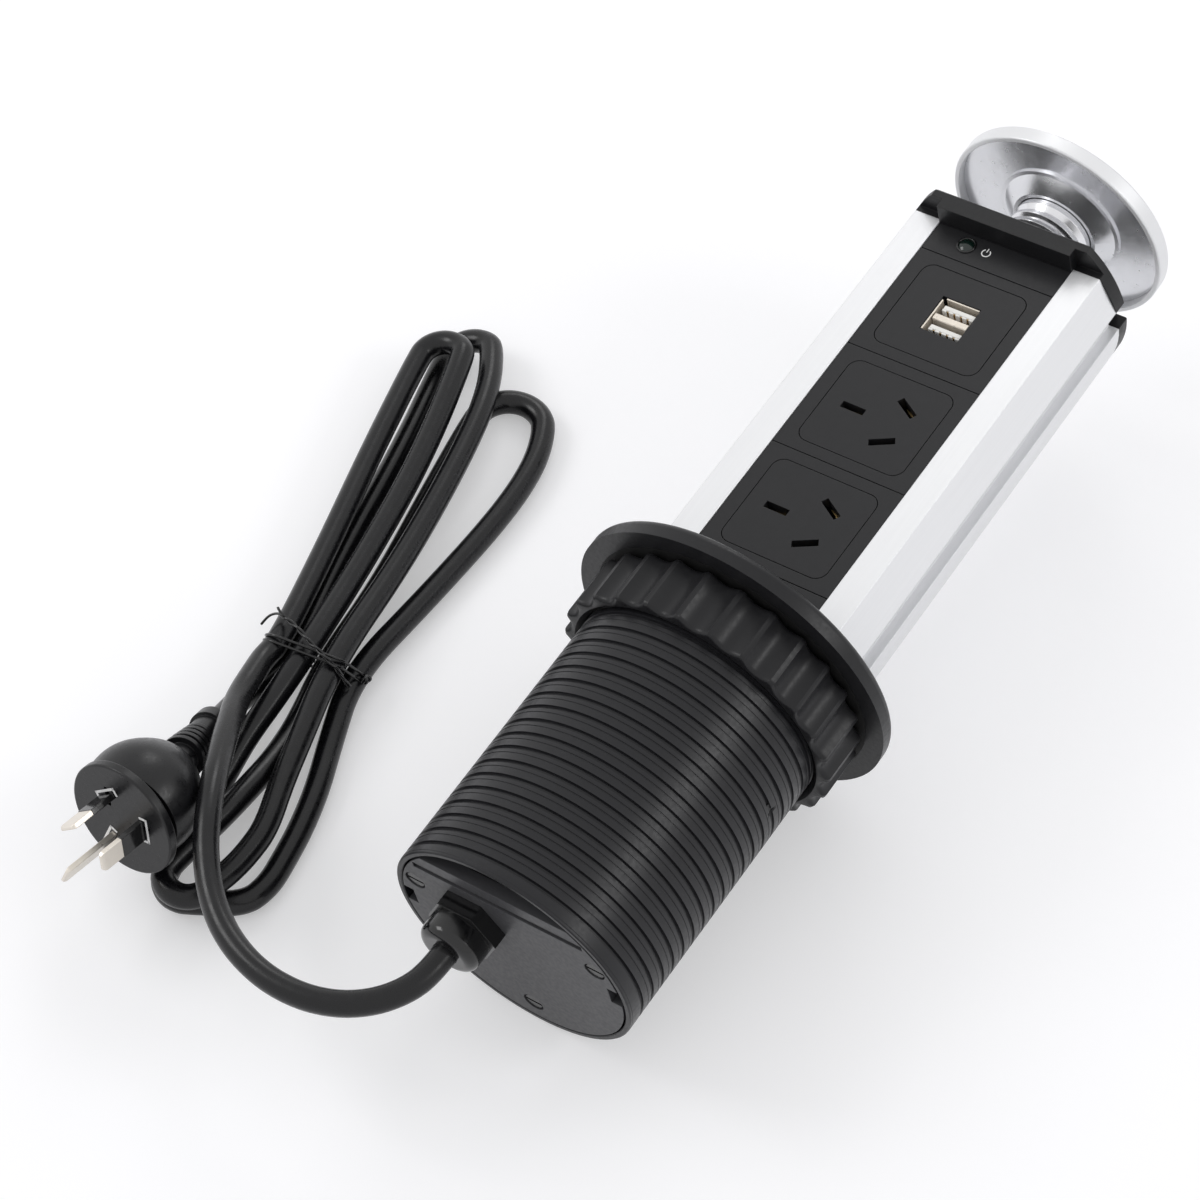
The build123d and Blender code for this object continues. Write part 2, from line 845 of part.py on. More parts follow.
def hexagon(flats):
    return RegularPolygon(flats / 2, 6, major_radius=False)


def gland_body():
    """Hexagon outside, threaded shank through the plate, bored for the seal and the cord."""
    place = Pos(gland_x, gland_y, sleeve_low - gland_hex_h)
    body = extrude(place * hexagon(gland_flats), gland_hex_h)
    body += rod(gland_shank_r, sleeve_low, sleeve_low + gland_thread_h, gland_x, gland_y)
    bore_low = sleeve_low - gland_hex_h - overrun
    return body - rod(gland_bore_r, bore_low, sleeve_low + gland_thread_h + overrun, gland_x, gland_y)


def gland_dome():
    """The domed compression nut that the cord leaves through."""
    top = sleeve_low - gland_hex_h
    low = top - gland_dome_h
    body = rod(gland_dome_r, low, top, gland_x, gland_y)
    mouth = body.edges().filter_by(GeomType.CIRCLE).sort_by(Axis.Z)[0]
    body = fillet(mouth, gland_dome_round)
    return body - rod(cord_r + cord_slip, low - overrun, top + overrun, gland_x, gland_y)


def gland_seal():
    low = sleeve_low - gland_hex_h
    outer = rod(gland_bore_r - slip, low, low + seal_h, gland_x, gland_y)
    return outer - rod(cord_r + cord_slip, low - overrun, low + seal_h + overrun, gland_x, gland_y)


def gland_locknut():
    place = Pos(gland_x, gland_y, tower_low)
    body = extrude(place * hexagon(locknut_flats), locknut_h)
    bore_high = tower_low + locknut_h + overrun
    return body - rod(gland_shank_r + slip, tower_low - overrun, bore_high, gland_x, gland_y)


def exit_z():
    """Height at which the cord leaves the gland."""
    return sleeve_low - gland_hex_h - gland_dome_h


def cord_sheath_end():
    return rod(cord_r, exit_z(), exit_z() + sheath_stub, gland_x, gland_y)


def core_wire(name, index):
    """One core of the cord, from the sheath's end up to the back of its pole's bar."""
    angle = radians(index * 120 - 30)
    x = gland_x + core_ring_r * cos(angle)
    y = gland_y + core_ring_r * sin(angle)
    low = exit_z() + sheath_stub
    bar_low = bar_reach(name)[0]
    back = bar_back + core_r
    points = [
        (x, y, low),
        (x, y, low + core_straight),
        (bar_x(name), back, bar_low - core_straight),
        (bar_x(name), back, bar_low + core_overlap),
    ]
    path = FilletPolyline(*points, radius=core_bend_r)
    start = Plane(origin=points[0], z_dir=(0, 0, 1))
    return sweep(start * Circle(core_r), path=path)


pieces = {
    "tower_extrusion": tower_extrusion(),
    "indicator_strip": indicator_strip(),
    "indicator_lens": indicator_lens(),
    "indicator_board": indicator_board(),
    "usb_frame": module_frame(usb_low),
    "usb_insert": usb_insert(),
    "usb_shell": usb_shell(),
    "usb_tongues": usb_tongues(),
    "usb_contacts": usb_contacts(),
    "usb_charger_board": charger_board(),
    "lower_panel": lower_panel(),
    "live_bar": pole_bar("live"),
    "neutral_bar": pole_bar("neutral"),
    "earth_bar": pole_bar("earth"),
    "end_cap": end_cap(),
    "end_cap_screws": screws(cap_top, tower_top, screw_recess),
    "cap_neck": neck(),
    "lift_cap": lift_cap(),
    "lift_cap_dish": cap_dish(),
    "base_plate": base_plate(),
    "base_screws": screws(sleeve_low, tower_low, screw_recess),
    "gland_body": gland_body(),
    "gland_dome_nut": gland_dome(),
    "gland_seal": gland_seal(),
    "gland_locknut": gland_locknut(),
    "cord_sheath_end": cord_sheath_end(),
    "threaded_sleeve": threaded_sleeve(),
    "guide_pegs": guide_pegs(),
    "flange_collar": flange_collar(),
    "flange_gasket": flange_gasket(),
    "clamp_nut": clamp_nut(),
}
for name, low in {"upper": upper_low, "lower": lower_low}.items():
    pieces[name + "_outlet_frame"] = module_frame(low)
    pieces[name + "_outlet_insert"] = outlet_insert(low)
    pieces[name + "_outlet_housing"] = outlet_housing(low)
    pieces[name + "_outlet_contacts"] = outlet_contacts(low)
for index, name in enumerate(("live", "neutral", "earth")):
    pieces[name + "_wire"] = core_wire(name, index)

# Laid down: the rim of the flange and the end of the sleeve both touch the table, with a little roll about the axis
lean = atan2(flange_r - sleeve_r, sleeve_length)
roll = radians(8.5)
lying = Plane(
    origin=(0, 0, flange_r * cos(lean)),
    x_dir=(-sin(lean) * sin(roll), -cos(roll), cos(lean) * sin(roll)),
    z_dir=(cos(lean), 0, sin(lean)),
).location
laid = {name: lying * piece for name, piece in pieces.items()}
boxes = [piece.bounding_box() for piece in laid.values()]
middle_x = (min(box.min.X for box in boxes) + max(box.max.X for box in boxes)) / 2
middle_y = (min(box.min.Y for box in boxes) + max(box.max.Y for box in boxes)) / 2
set_down = Pos(-middle_x, -middle_y, 0)
print("axis meets the underside at", (set_down * lying).position)
print("lowest", min(box.min.Z for box in boxes), "highest", max(box.max.Z for box in boxes))

gland_mouth = (set_down * lying * Pos(gland_x, gland_y, exit_z())).position
mouth_shift = gland_mouth - Vector(*mouth_place)
print("the gland's mouth is off its place by", mouth_shift)


def placed(point, rise_share=0.0):
    """A point of the cord, moved over the table with the gland's mouth, and raised by a share of the mouth's rise."""
    return Vector(*point) + Vector(mouth_shift.X, mouth_shift.Y, rise_share * mouth_shift.Z)


def lead_route():
    """The lead's points, whose heights follow the mouth's less and less from the first to the last."""
    last = len(lead_points) - 1
    return [placed(point, 1 - index / last) for index, point in enumerate(lead_points)]


def corner_radii(points):
    """The largest radii that the runs beside each corner allow."""
    radii = []
    for before, corner, after in zip(points, points[1:], points[2:]):
        way_in = corner - before
        way_out = after - corner
        half_turn = radians(way_in.get_angle(way_out)) / 2
        radii.append(lead_share * min(way_in.length, way_out.length) / tan(half_turn))
    return radii


def waist_slot(name):
    across, z = waist_slots[name]
    turn = radians(waist_turn_angle)
    back = tan(radians(waist_lean_angle)) * (z - waist_mid_z)
    return placed((waist_x - sin(turn) * across - back, waist_y + cos(turn) * across, z))


def way_points(start, end, rows):
    """Points beside the straight way from one point to another: share of the way, offset to its left, height."""
    span = hypot(end.X - start.X, end.Y - start.Y)
    left = Vector(-(end.Y - start.Y) / span, (end.X - start.X) / span, 0)
    points = []
    for share, aside, z in rows:
        place = start + (end - start) * share + left * aside
        points.append(Vector(place.X, place.Y, z))
    return points


def fold_points(fold):
    """One fold of the hank: out from the waist, round an arc and back, without its last point."""
    start, end = (waist_slot(name) for name in fold_slots[fold])
    first_turn, last_turn = fold_turn_angles[fold]
    low, high = fold_heights[fold]
    centre = fold_centres[fold]
    side = 1 if last_turn > first_turn else -1
    arc = []
    for step in range(fold_step_counts[fold] + 1):
        share = step / fold_step_counts[fold]
        heading = radians(first_turn + (last_turn - first_turn) * share)
        x = centre[0] + side * fold_radii[fold] * sin(heading)
        y = centre[1] - side * fold_radii[fold] * cos(heading)
        arc.append(placed((x, y, low + (high - low) * share)))
    rows_in = zip(fold_in_shares[fold], fold_in_asides[fold], fold_in_heights[fold])
    rows_out = zip(fold_out_shares[fold], fold_out_asides[fold], fold_out_heights[fold])
    return [start] + way_points(start, arc[0], rows_in) + arc + way_points(arc[-1], end, rows_out)


def hank_points(way_in):
    """The hank's route from the end of the lead to the plug's collar."""
    start = placed(lead_points[-1])
    points = [start, start + way_in * 2 * cord_r]
    for fold in range(len(fold_slots)):
        points += fold_points(fold)
    points.append(waist_slot("last"))
    points += [placed(point) for point in tail_points]
    collar = placed(relief_end)
    points += [collar + Vector(*relief_end_shares) * 2 * cord_r, collar]
    return points


def route_tangents(points, first, last):
    """At each point the tangent of the circle through it and its neighbours."""
    tangents = [first]
    for before, point, after in zip(points, points[1:], points[2:]):
        way_in = point - before
        way_out = after - point
        mean = way_in.normalized() * way_out.length + way_out.normalized() * way_in.length
        tangents.append(mean.normalized())
    tangents.append(last)
    return tangents


def tangent_edge(start, end, way):
    """An arc that leaves a point along its tangent, or a line where that is as good as straight."""
    if way.get_angle(end - start) < straight_angle:
        return Line(start, end)
    return TangentArc(start, end, tangent=way)


def biarcs(points, tangents):
    """Two tangent arcs from each point to the next."""
    edges = []
    for start, end, way_in, way_out in zip(points, points[1:], tangents, tangents[1:]):
        span = end - start
        if way_in.get_angle(span) < straight_angle and way_out.get_angle(span) < straight_angle:
            edges.append(Line(start, end))
            continue
        spare = 2 * (1 - way_in.dot(way_out))
        along = span.dot(way_in + way_out)
        reach = span.dot(span) / (2 * along)
        if spare > tiny_share:
            reach = (sqrt(along**2 + spare * span.dot(span)) - along) / spare
        inner = start + way_in * reach
        outer = end - way_out * reach
        middle = (inner + outer) * 0.5
        edges.append(tangent_edge(start, middle, way_in))
        edges.append(tangent_edge(middle, end, outer - inner))
    return edges


def tube(path, radius, start, way):
    """Sweeps a circle along a path and prints its volume against its section times its length."""
    solid = sweep(Plane(origin=start, z_dir=way) * Circle(radius), path=path)
    print("tube length", path.length, "volume ratio", solid.volume / (pi * radius**2 * path.length))
    return solid


def cord_lead():
    points = [gland_mouth] + lead_route()
    radii = corner_radii(points)
    print("lead radii", [round(radius, 1) for radius in radii])
    path = FilletPolyline(*points, radius=radii)
    return tube(path, cord_r, gland_mouth, path % 0)


def cord_hank():
    points = lead_route()
    way_in = (points[-1] - points[-2]).normalized()
    route = hank_points(way_in)
    tangents = route_tangents(route, way_in, -Vector(*relief_end_shares))
    tangents[1] = way_in
    tangents[-2] = -Vector(*relief_end_shares)
    edges = biarcs(route, tangents)
    print("hank arc radii from", sorted(edge.radius for edge in edges if edge.geom_type == GeomType.CIRCLE)[:8])
    path = Wire(edges)
    report_gap(path)
    return tube(path, cord_r, route[0], way_in)


def waist_plane(along):
    """The plane of the tie, moved along the strands: its X runs across them and its Y leans back with the tie."""
    turn = radians(waist_turn_angle)
    lean_back = radians(waist_lean_angle)
    across = Vector(-sin(turn), cos(turn), 0)
    up = Vector(-sin(lean_back) * cos(turn), -sin(lean_back) * sin(turn), cos(lean_back))
    normal = across.cross(up)
    origin = placed((waist_x, waist_y, waist_mid_z)) + normal * along
    return Plane(origin=origin, x_dir=across, z_dir=normal)


def wire_run(points, radius, bend):
    path = FilletPolyline(*points, radius=bend) if len(points) > 2 else Line(*points)
    return sweep(Plane(origin=points[0], z_dir=path % 0) * Circle(radius), path=path)


def waist_hull(reach):
    """What a tight loop round the six strands encloses, at a distance from their centres."""
    discs = Sketch()
    for across, z in waist_slots.values():
        discs += Pos(across, (z - waist_mid_z) / cos(radians(waist_lean_angle))) * Circle(reach)
    return make_hull(discs.edges())


def hank_tie():
    """Two turns of wire round the six strands, a knot at one side and the twisted ends across the top."""
    inner = waist_hull(cord_r + tie_gap)
    outer = waist_hull(cord_r + tie_gap + 2 * tie_wire_r)
    turns = Part()
    for side in side_pair:
        turns += extrude(waist_plane(side * tie_spacing / 2) * (outer - inner), tie_wire_r, both=True)
    place = waist_plane(0) * Pos(tie_knot_across, (tie_knot_z - waist_mid_z) / cos(radians(waist_lean_angle)))
    knot = place * Sphere(tie_knot_r)
    twist = [placed(point) for point in tie_twist]
    fork = twist[-1]
    ends = wire_run(twist, tie_twist_r, tie_twist_bend) + Pos(*fork) * Sphere(tie_twist_r)
    ends += wire_run([fork] + [placed(point) for point in tie_long_end], tie_wire_r, tie_end_bend)
    ends += wire_run([fork, placed(tie_short_end)], tie_wire_r, tie_end_bend)
    ends += Pos(*twist[0]) * Sphere(tie_twist_r)
    return turns + knot + ends


def plug_plane():
    """The plug's face: Z out along the pins, Y up towards the two slanting ones."""
    out = Vector(*plug_out_shares).normalized()
    up = Vector(*plug_up_shares)
    up = (up - out * up.dot(out)).normalized()
    return Plane(origin=placed(plug_centre), x_dir=up.cross(out), z_dir=out)


def pin_outline(name, inset=0.0):
    """One pin's section on the plug's face, or the same inside its sleeve."""
    rise, aside, turn = pin_places()[name]
    return Pos(-aside, rise) * Rot(0, 0, 90 - turn) * Rectangle(pin_w - 2 * inset, pin_t - 2 * inset)


def pin_inset(name):
    """How far a pin's root is inside its blade's outline: the two slanting pins are waisted for their sleeves."""
    return 0 if name == "earth" else pin_sleeve_wall


def plug_pins():
    """Two slanting pins with a waist under their sleeves, and the longer earth pin; tips are chamfered."""
    pins = Part()
    for name in pin_places():
        length = earth_length if name == "earth" else pin_length
        start = 0 if name == "earth" else pin_sleeve_length
        blade = extrude(Pos(0, 0, start) * pin_outline(name), length - start)
        tip = blade.faces().sort_by(Axis.Z)[-1].edges().sort_by(SortBy.LENGTH)[:2]
        blade = chamfer(tip, pin_tip, pin_tip / 2)
        pins += blade + extrude(Pos(0, 0, -pin_root) * pin_outline(name, pin_inset(name)), pin_root + start)
    return plug_plane() * pins


def pin_sleeves():
    """The insulating sleeves on the root half of the live and neutral pins, flush with their blades."""
    sleeves = Part()
    for name in ("live", "neutral"):
        sleeves += extrude(pin_outline(name) - pin_outline(name, pin_sleeve_wall), pin_sleeve_length)
    return plug_plane() * sleeves


def relief_spine():
    """The strain relief's line: two tangent arcs from inside the plug's back to the collar's end."""
    points = [placed(relief_start), placed(relief_end)]
    ways = [Vector(*relief_start_shares).normalized(), Vector(*relief_end_shares).normalized()]
    return Wire(biarcs(points, ways))


def plug_back():
    """The domed back as a solid of revolution about its own axis, which leans towards the strain relief."""
    back = Vector(*plug_back_shares).normalized()
    origin = placed(plug_centre) - Vector(*plug_out_shares).normalized() * plug_back_start
    curve = Spline(*[(radius, 0, along) for radius, along in plug_back_profile])
    low = Polyline((0, 0, plug_back_profile[0][1]), curve @ 0)
    high = Polyline(curve @ 1, (0, 0, plug_back_profile[-1][1]), (0, 0, plug_back_profile[0][1]))
    dome = revolve(make_face([curve] + low.edges() + high.edges()), Axis.Z)
    return Plane(origin=origin, z_dir=back) * dome


def plug_body():
    disc = extrude(Circle(plug_disc_r), -plug_disc_t)
    disc = fillet(disc.edges().filter_by(GeomType.CIRCLE), plug_disc_edge)
    for name in pin_places():
        disc -= extrude(pin_outline(name), -plug_disc_t - overrun)
    body = plug_plane() * disc + plug_back()
    body -= plug_plane() * pins_room()
    return body - relief_solid()


def pins_room():
    """The roots of the pins, as a cutter."""
    room = Part()
    for name in pin_places():
        room += extrude(pin_outline(name, pin_inset(name)), -pin_root)
    return room


def relief_solid():
    """Core, root cone, ribs and collar along the strain relief's line."""
    spine = relief_spine()
    start = Plane(origin=spine @ 0, z_dir=spine % 0)
    body = sweep(start * Circle(relief_core_r), path=spine)
    for index in range(relief_rib_count):
        along = relief_first_rib + index * relief_rib_spacing
        radius = relief_root_r - index * relief_rib_growth
        place = Plane(spine.location_at(along / spine.length))
        body += extrude(place * Circle(radius), relief_rib_t / 2, both=True)
    place = Plane(origin=spine @ 1, z_dir=-(spine % 1))
    return body + extrude(place * Circle(relief_collar_r), relief_collar_t)


def report_gap(path):
    """Prints the hank's least gap to itself, measured on points two millimetres apart."""
    count = int(path.length / gap_step)
    spots = [path.position_at(index / count) for index in range(count + 1)]
    skip = int(gap_skip / gap_step)
    least = 2 * gap_skip
    for index, spot in enumerate(spots):
        for other in spots[index + skip:]:
            reach = (other - spot).length
            if reach < least:
                least = reach
                where = (spot, other)
    print("hank least gap to itself", least - 2 * cord_r, "at", where)


os.makedirs("parts", exist_ok=True)
for name, piece in laid.items():
    export_step(set_down * piece, f"parts/{name}.step")
wound = {
    "cord_lead": cord_lead(),
    "cord_hank": cord_hank(),
    "hank_tie": hank_tie(),
    "plug_body": plug_body(),
    "plug_strain_relief": relief_solid(),
    "plug_pins": plug_pins(),
    "plug_pin_sleeves": pin_sleeves(),
}
for name, piece in wound.items():
    export_step(piece, f"parts/{name}.step")
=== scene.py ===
import math

import bmesh
import bpy
from mathutils import Matrix, Vector


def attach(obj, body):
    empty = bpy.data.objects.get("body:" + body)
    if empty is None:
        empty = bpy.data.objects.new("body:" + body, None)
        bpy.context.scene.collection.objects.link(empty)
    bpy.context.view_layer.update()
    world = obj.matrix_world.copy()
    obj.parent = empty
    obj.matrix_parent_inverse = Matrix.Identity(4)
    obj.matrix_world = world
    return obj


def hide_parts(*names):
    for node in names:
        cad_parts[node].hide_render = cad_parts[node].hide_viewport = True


# A pop up desk socket, raised and lying on its side. The cord, the camera, the lights and the finishes' edges are
# in metres. All other sizes are in millimetres: along the upright tower (origin on its axis under the flange,
# Z up, outlets facing -Y) for the pieces on it, and in the row frame for the tie and the plug.

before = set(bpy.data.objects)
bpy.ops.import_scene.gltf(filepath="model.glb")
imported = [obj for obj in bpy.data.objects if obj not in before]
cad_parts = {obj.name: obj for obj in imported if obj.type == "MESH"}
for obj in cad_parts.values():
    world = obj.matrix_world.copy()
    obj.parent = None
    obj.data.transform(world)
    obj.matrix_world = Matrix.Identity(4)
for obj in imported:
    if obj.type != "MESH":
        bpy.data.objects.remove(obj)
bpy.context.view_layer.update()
scene = bpy.context.scene
MM = 0.001

# How the tower lies: it leans on the flange's edge and the sleeve's, and is rolled about its own axis
FLANGE_REACH, SLEEVE_LENGTH, ROLL_ANGLE = 12.28, 108.4, 8.5
TOWER_ORIGIN = Vector((-33.2825, 0, 50.9044))
LEAN = math.atan2(FLANGE_REACH, SLEEVE_LENGTH)
ROLL = math.radians(ROLL_ANGLE)


def placing(way_x, way_y, way_z, origin):
    """The matrix that puts millimetres along three directions at an origin, in metres."""
    turn = Matrix((way_x, way_y, way_z)).transposed().to_4x4()
    return Matrix.Translation(origin * MM) @ turn @ Matrix.Scale(MM, 4)


tower_z = Vector((math.cos(LEAN), 0, math.sin(LEAN)))
tower_x = Vector((-math.sin(LEAN) * math.sin(ROLL), -math.cos(ROLL), math.cos(LEAN) * math.sin(ROLL)))
UPRIGHT = placing(tower_x, tower_z.cross(tower_x), tower_z, TOWER_ORIGIN)


# Camera at the photograph's viewing angle, in metres

CAMERA_PLACE_METRES = (-0.59072, -0.33704, 0.93208)
CAMERA_WAY = Vector((0.500, 0.3425, -0.7955)).normalized()
LENS, SENSOR = 115.65, 36


def add_camera():
    right = CAMERA_WAY.cross(Vector((0, 0, 1))).normalized()
    camera = bpy.data.objects.new("camera", bpy.data.cameras.new("camera"))
    camera.data.lens = LENS
    camera.data.sensor_width = SENSOR
    camera.data.clip_start = 0.05
    camera.data.clip_end = 60
    camera.matrix_world = Matrix.Translation(CAMERA_PLACE_METRES) @ (
        Matrix((right, right.cross(CAMERA_WAY), -CAMERA_WAY)).transposed().to_4x4()
    )
    scene.collection.objects.link(camera)
    scene.camera = camera
    scene.view_settings.view_transform = "Standard"


add_camera()


# Materials

COAT_ROUGH = 0.08
GRAIN_DEPTH_METRES = 0.0002
HIGHLIGHT_FROM, HIGHLIGHT_TO = 0.52, 0.6  # pointiness of the edges that get a painted highlight, paler than the colour
HIGHLIGHT_GAIN, HIGHLIGHT_LIFT = 3, 0.04
DRIFT_DETAIL, ROUGH_DETAIL, GRAIN_DETAIL = 4, 3, 2
ROUGH_SCALE_RATIO = 2.3


def finish(name, colour, rough, metal=0.0, spread=0.12, size=350.0, rough_spread=0.06, grain=0.03,
           grain_size=4200.0, stretch=(1.0, 1.0, 1.0), coat=0.0, edge=0.0, specular=0.5, edge_highlight=0.0):
    """A procedural finish: slow drift in colour and roughness, a fine grain in the normal, soft edges, and where
    asked a painted highlight on sharp edges.
    """
    material = bpy.data.materials.new(name)
    material.use_nodes = True
    nodes = material.node_tree.nodes
    links = material.node_tree.links
    shader = nodes["Principled BSDF"]
    shader.inputs["Metallic"].default_value = metal
    shader.inputs["Specular IOR Level"].default_value = specular
    shader.inputs["Coat Weight"].default_value = coat
    shader.inputs["Coat Roughness"].default_value = COAT_ROUGH
    coordinates = nodes.new("ShaderNodeTexCoord")
    mapping = nodes.new("ShaderNodeMapping")
    mapping.vector_type = "TEXTURE"
    mapping.inputs["Rotation"].default_value = (0, -LEAN, 0)
    mapping.inputs["Scale"].default_value = stretch
    links.new(coordinates.outputs["Object"], mapping.inputs["Vector"])

    def noise(scale, detail):
        node = nodes.new("ShaderNodeTexNoise")
        node.inputs["Scale"].default_value = scale
        node.inputs["Detail"].default_value = detail
        links.new(mapping.outputs["Vector"], node.inputs["Vector"])
        return node.outputs["Fac"]

    tint = nodes.new("ShaderNodeMix")
    tint.data_type = "RGBA"
    tint.inputs["A"].default_value = [channel * (1 - spread) for channel in colour] + [1]
    tint.inputs["B"].default_value = [min(1, channel * (1 + spread)) for channel in colour] + [1]
    links.new(noise(size, DRIFT_DETAIL), tint.inputs["Factor"])
    last = tint.outputs["Result"]
    # Painted highlight: sharp edges, found by pointiness, get a paler colour that stands in for light catching
    # them
    if edge_highlight:
        geometry = nodes.new("ShaderNodeNewGeometry")
        highlight_mask = nodes.new("ShaderNodeMapRange")
        highlight_mask.inputs["From Min"].default_value = HIGHLIGHT_FROM
        highlight_mask.inputs["From Max"].default_value = HIGHLIGHT_TO
        highlight_mask.inputs["To Max"].default_value = edge_highlight
        links.new(geometry.outputs["Pointiness"], highlight_mask.inputs["Value"])
        painted_highlight = nodes.new("ShaderNodeMix")
        painted_highlight.data_type = "RGBA"
        highlight_colour = [min(1, channel * HIGHLIGHT_GAIN + HIGHLIGHT_LIFT) for channel in colour]
        painted_highlight.inputs["B"].default_value = highlight_colour + [1]
        links.new(highlight_mask.outputs["Result"], painted_highlight.inputs["Factor"])
        links.new(last, painted_highlight.inputs["A"])
        last = painted_highlight.outputs["Result"]
    links.new(last, shader.inputs["Base Color"])
    level = nodes.new("ShaderNodeMapRange")
    level.inputs["From Min"].default_value = 0.3
    level.inputs["From Max"].default_value = 0.7
    level.inputs["To Min"].default_value = max(0.02, rough - rough_spread)
    level.inputs["To Max"].default_value = min(1, rough + rough_spread)
    links.new(noise(size * ROUGH_SCALE_RATIO, ROUGH_DETAIL), level.inputs["Value"])
    links.new(level.outputs["Result"], shader.inputs["Roughness"])
    bump = nodes.new("ShaderNodeBump")
    bump.inputs["Strength"].default_value = grain
    bump.inputs["Distance"].default_value = GRAIN_DEPTH_METRES
    links.new(noise(grain_size, GRAIN_DETAIL), bump.inputs["Height"])
    if edge:
        bevel = nodes.new("ShaderNodeBevel")
        bevel.inputs["Radius"].default_value = edge
        bevel.samples = 4
        links.new(bevel.outputs["Normal"], bump.inputs["Normal"])
    links.new(bump.outputs["Normal"], shader.inputs["Normal"])
    return material


BRUSHED = (18.0, 0.5, 0.5)
FINISHES = {
    "anodised": dict(colour=(0.8, 0.805, 0.82), rough=0.36, metal=0.55, spread=0.03, size=500,
                     rough_spread=0.05, grain=0.05, grain_size=2600, stretch=BRUSHED, edge=0.0004),
    "black_plastic": dict(colour=(0.006, 0.006, 0.007), rough=0.42, edge=0.0003, grain=0.06, specular=0.3),
    "panel_black": dict(colour=(0.013, 0.013, 0.0145), rough=0.36, edge=0.00025, grain=0.05, specular=0.3),
    "ring_black": dict(colour=(0.012, 0.012, 0.0135), rough=0.36, grain=0.08, grain_size=2600,
                       specular=0.27),
    # the thread's crests and rim carry a painted highlight along their sharp edges
    "thread_black": dict(colour=(0.013, 0.013, 0.015), rough=0.34, grain=0.05, edge_highlight=0.1, specular=0.27),
    "plate_black": dict(colour=(0.05, 0.05, 0.054), rough=0.42, edge=0.0003, grain=0.06, specular=0.35),
    "gloss_black": dict(colour=(0.004, 0.004, 0.0045), rough=0.16, coat=0.3, edge=0.0004, specular=0.35),
    "cap_silver": dict(colour=(0.8, 0.805, 0.82), rough=0.34, metal=0.35, spread=0.01, size=600,
                       rough_spread=0.02, grain=0.006, edge=0.0004),
    "chrome": dict(colour=(0.74, 0.74, 0.76), rough=0.2, metal=1.0, spread=0.03, size=200, rough_spread=0.03,
                   grain=0.005, edge=0.0003),
    "dish_grey": dict(colour=(0.75, 0.755, 0.78), rough=0.25, metal=0.9, spread=0.03, size=120,
                      rough_spread=0.03, grain=0.004, edge=0.0002),
    "lens": dict(colour=(0.001, 0.009, 0.006), rough=0.16, spread=0.3, specular=0.6, grain=0.0),
    "board": dict(colour=(0.02, 0.12, 0.06), rough=0.35),
    "shell_metal": dict(colour=(0.72, 0.66, 0.58), rough=0.32, metal=0.6, edge=0.0001),
    "white_plastic": dict(colour=(0.82, 0.81, 0.78), rough=0.4, edge=0.0002),
    "gold": dict(colour=(0.78, 0.52, 0.22), rough=0.25, metal=1.0),
    "brass": dict(colour=(0.62, 0.45, 0.2), rough=0.35, metal=1.0),
    "housing": dict(colour=(0.008, 0.008, 0.009), rough=0.5),
    "live_core": dict(colour=(0.13, 0.05, 0.02), rough=0.4),
    "neutral_core": dict(colour=(0.04, 0.13, 0.45), rough=0.4),
    "earth_core": dict(colour=(0.12, 0.35, 0.04), rough=0.4),
    "cord_black": dict(colour=(0.0045, 0.0045, 0.0055), rough=0.27, size=160, grain=0.04, grain_size=1500,
                       specular=0.36),
    "plug_black": dict(colour=(0.007, 0.007, 0.008), rough=0.32, edge=0.0004, grain=0.05, specular=0.36),
    "dark_screw": dict(colour=(0.003, 0.003, 0.003), rough=0.25, edge=0.0002),
    "pin_metal": dict(colour=(0.74, 0.69, 0.62), rough=0.3, metal=0.85, spread=0.04, size=200,
                      rough_spread=0.03, grain=0.004, edge=0.0002),
    "mark_white": dict(colour=(0.85, 0.85, 0.85), rough=0.5),
    "seal": dict(colour=(0.006, 0.006, 0.006), rough=0.6, specular=0.3),
    "floor_white": dict(colour=(0.69, 0.69, 0.71), rough=0.7, spread=0.005, size=3, grain=0.0, specular=0.2),
}
looks = {name: finish(name, **values) for name, values in FINISHES.items()}

# The CAD nodes that keep their own shape, by finish
DRESSING = {
    "anodised": ["tower_extrusion"],
    "panel_black": ["indicator_strip", "usb_frame", "usb_insert", "upper_outlet_frame",
                    "upper_outlet_insert", "lower_outlet_frame", "lower_outlet_insert", "lower_panel"],
    "black_plastic": ["end_cap", "guide_pegs"],
    "ring_black": ["flange_collar"],
    "plate_black": ["base_plate"],
    "gloss_black": ["gland_body", "gland_dome_nut", "gland_locknut"],
    "cap_silver": ["lift_cap"],
    "chrome": ["cap_neck"],
    "dish_grey": ["lift_cap_dish"],
    "lens": ["indicator_lens"],
    "board": ["indicator_board", "usb_charger_board"],
    "housing": ["upper_outlet_housing", "lower_outlet_housing"],
    "brass": ["upper_outlet_contacts", "lower_outlet_contacts", "live_bar", "neutral_bar", "earth_bar"],
    "live_core": ["live_wire"],
    "neutral_core": ["neutral_wire"],
    "earth_core": ["earth_wire"],
    "dark_screw": ["end_cap_screws", "base_screws"],
    "seal": ["gland_seal", "flange_gasket"],
    "cord_black": ["cord_sheath_end"],
    "plug_black": ["plug_body", "plug_strain_relief"],
}
for look, names in DRESSING.items():
    for name in names:
        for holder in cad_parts[name].material_slots:
            holder.material = looks[look]


# Mesh helpers

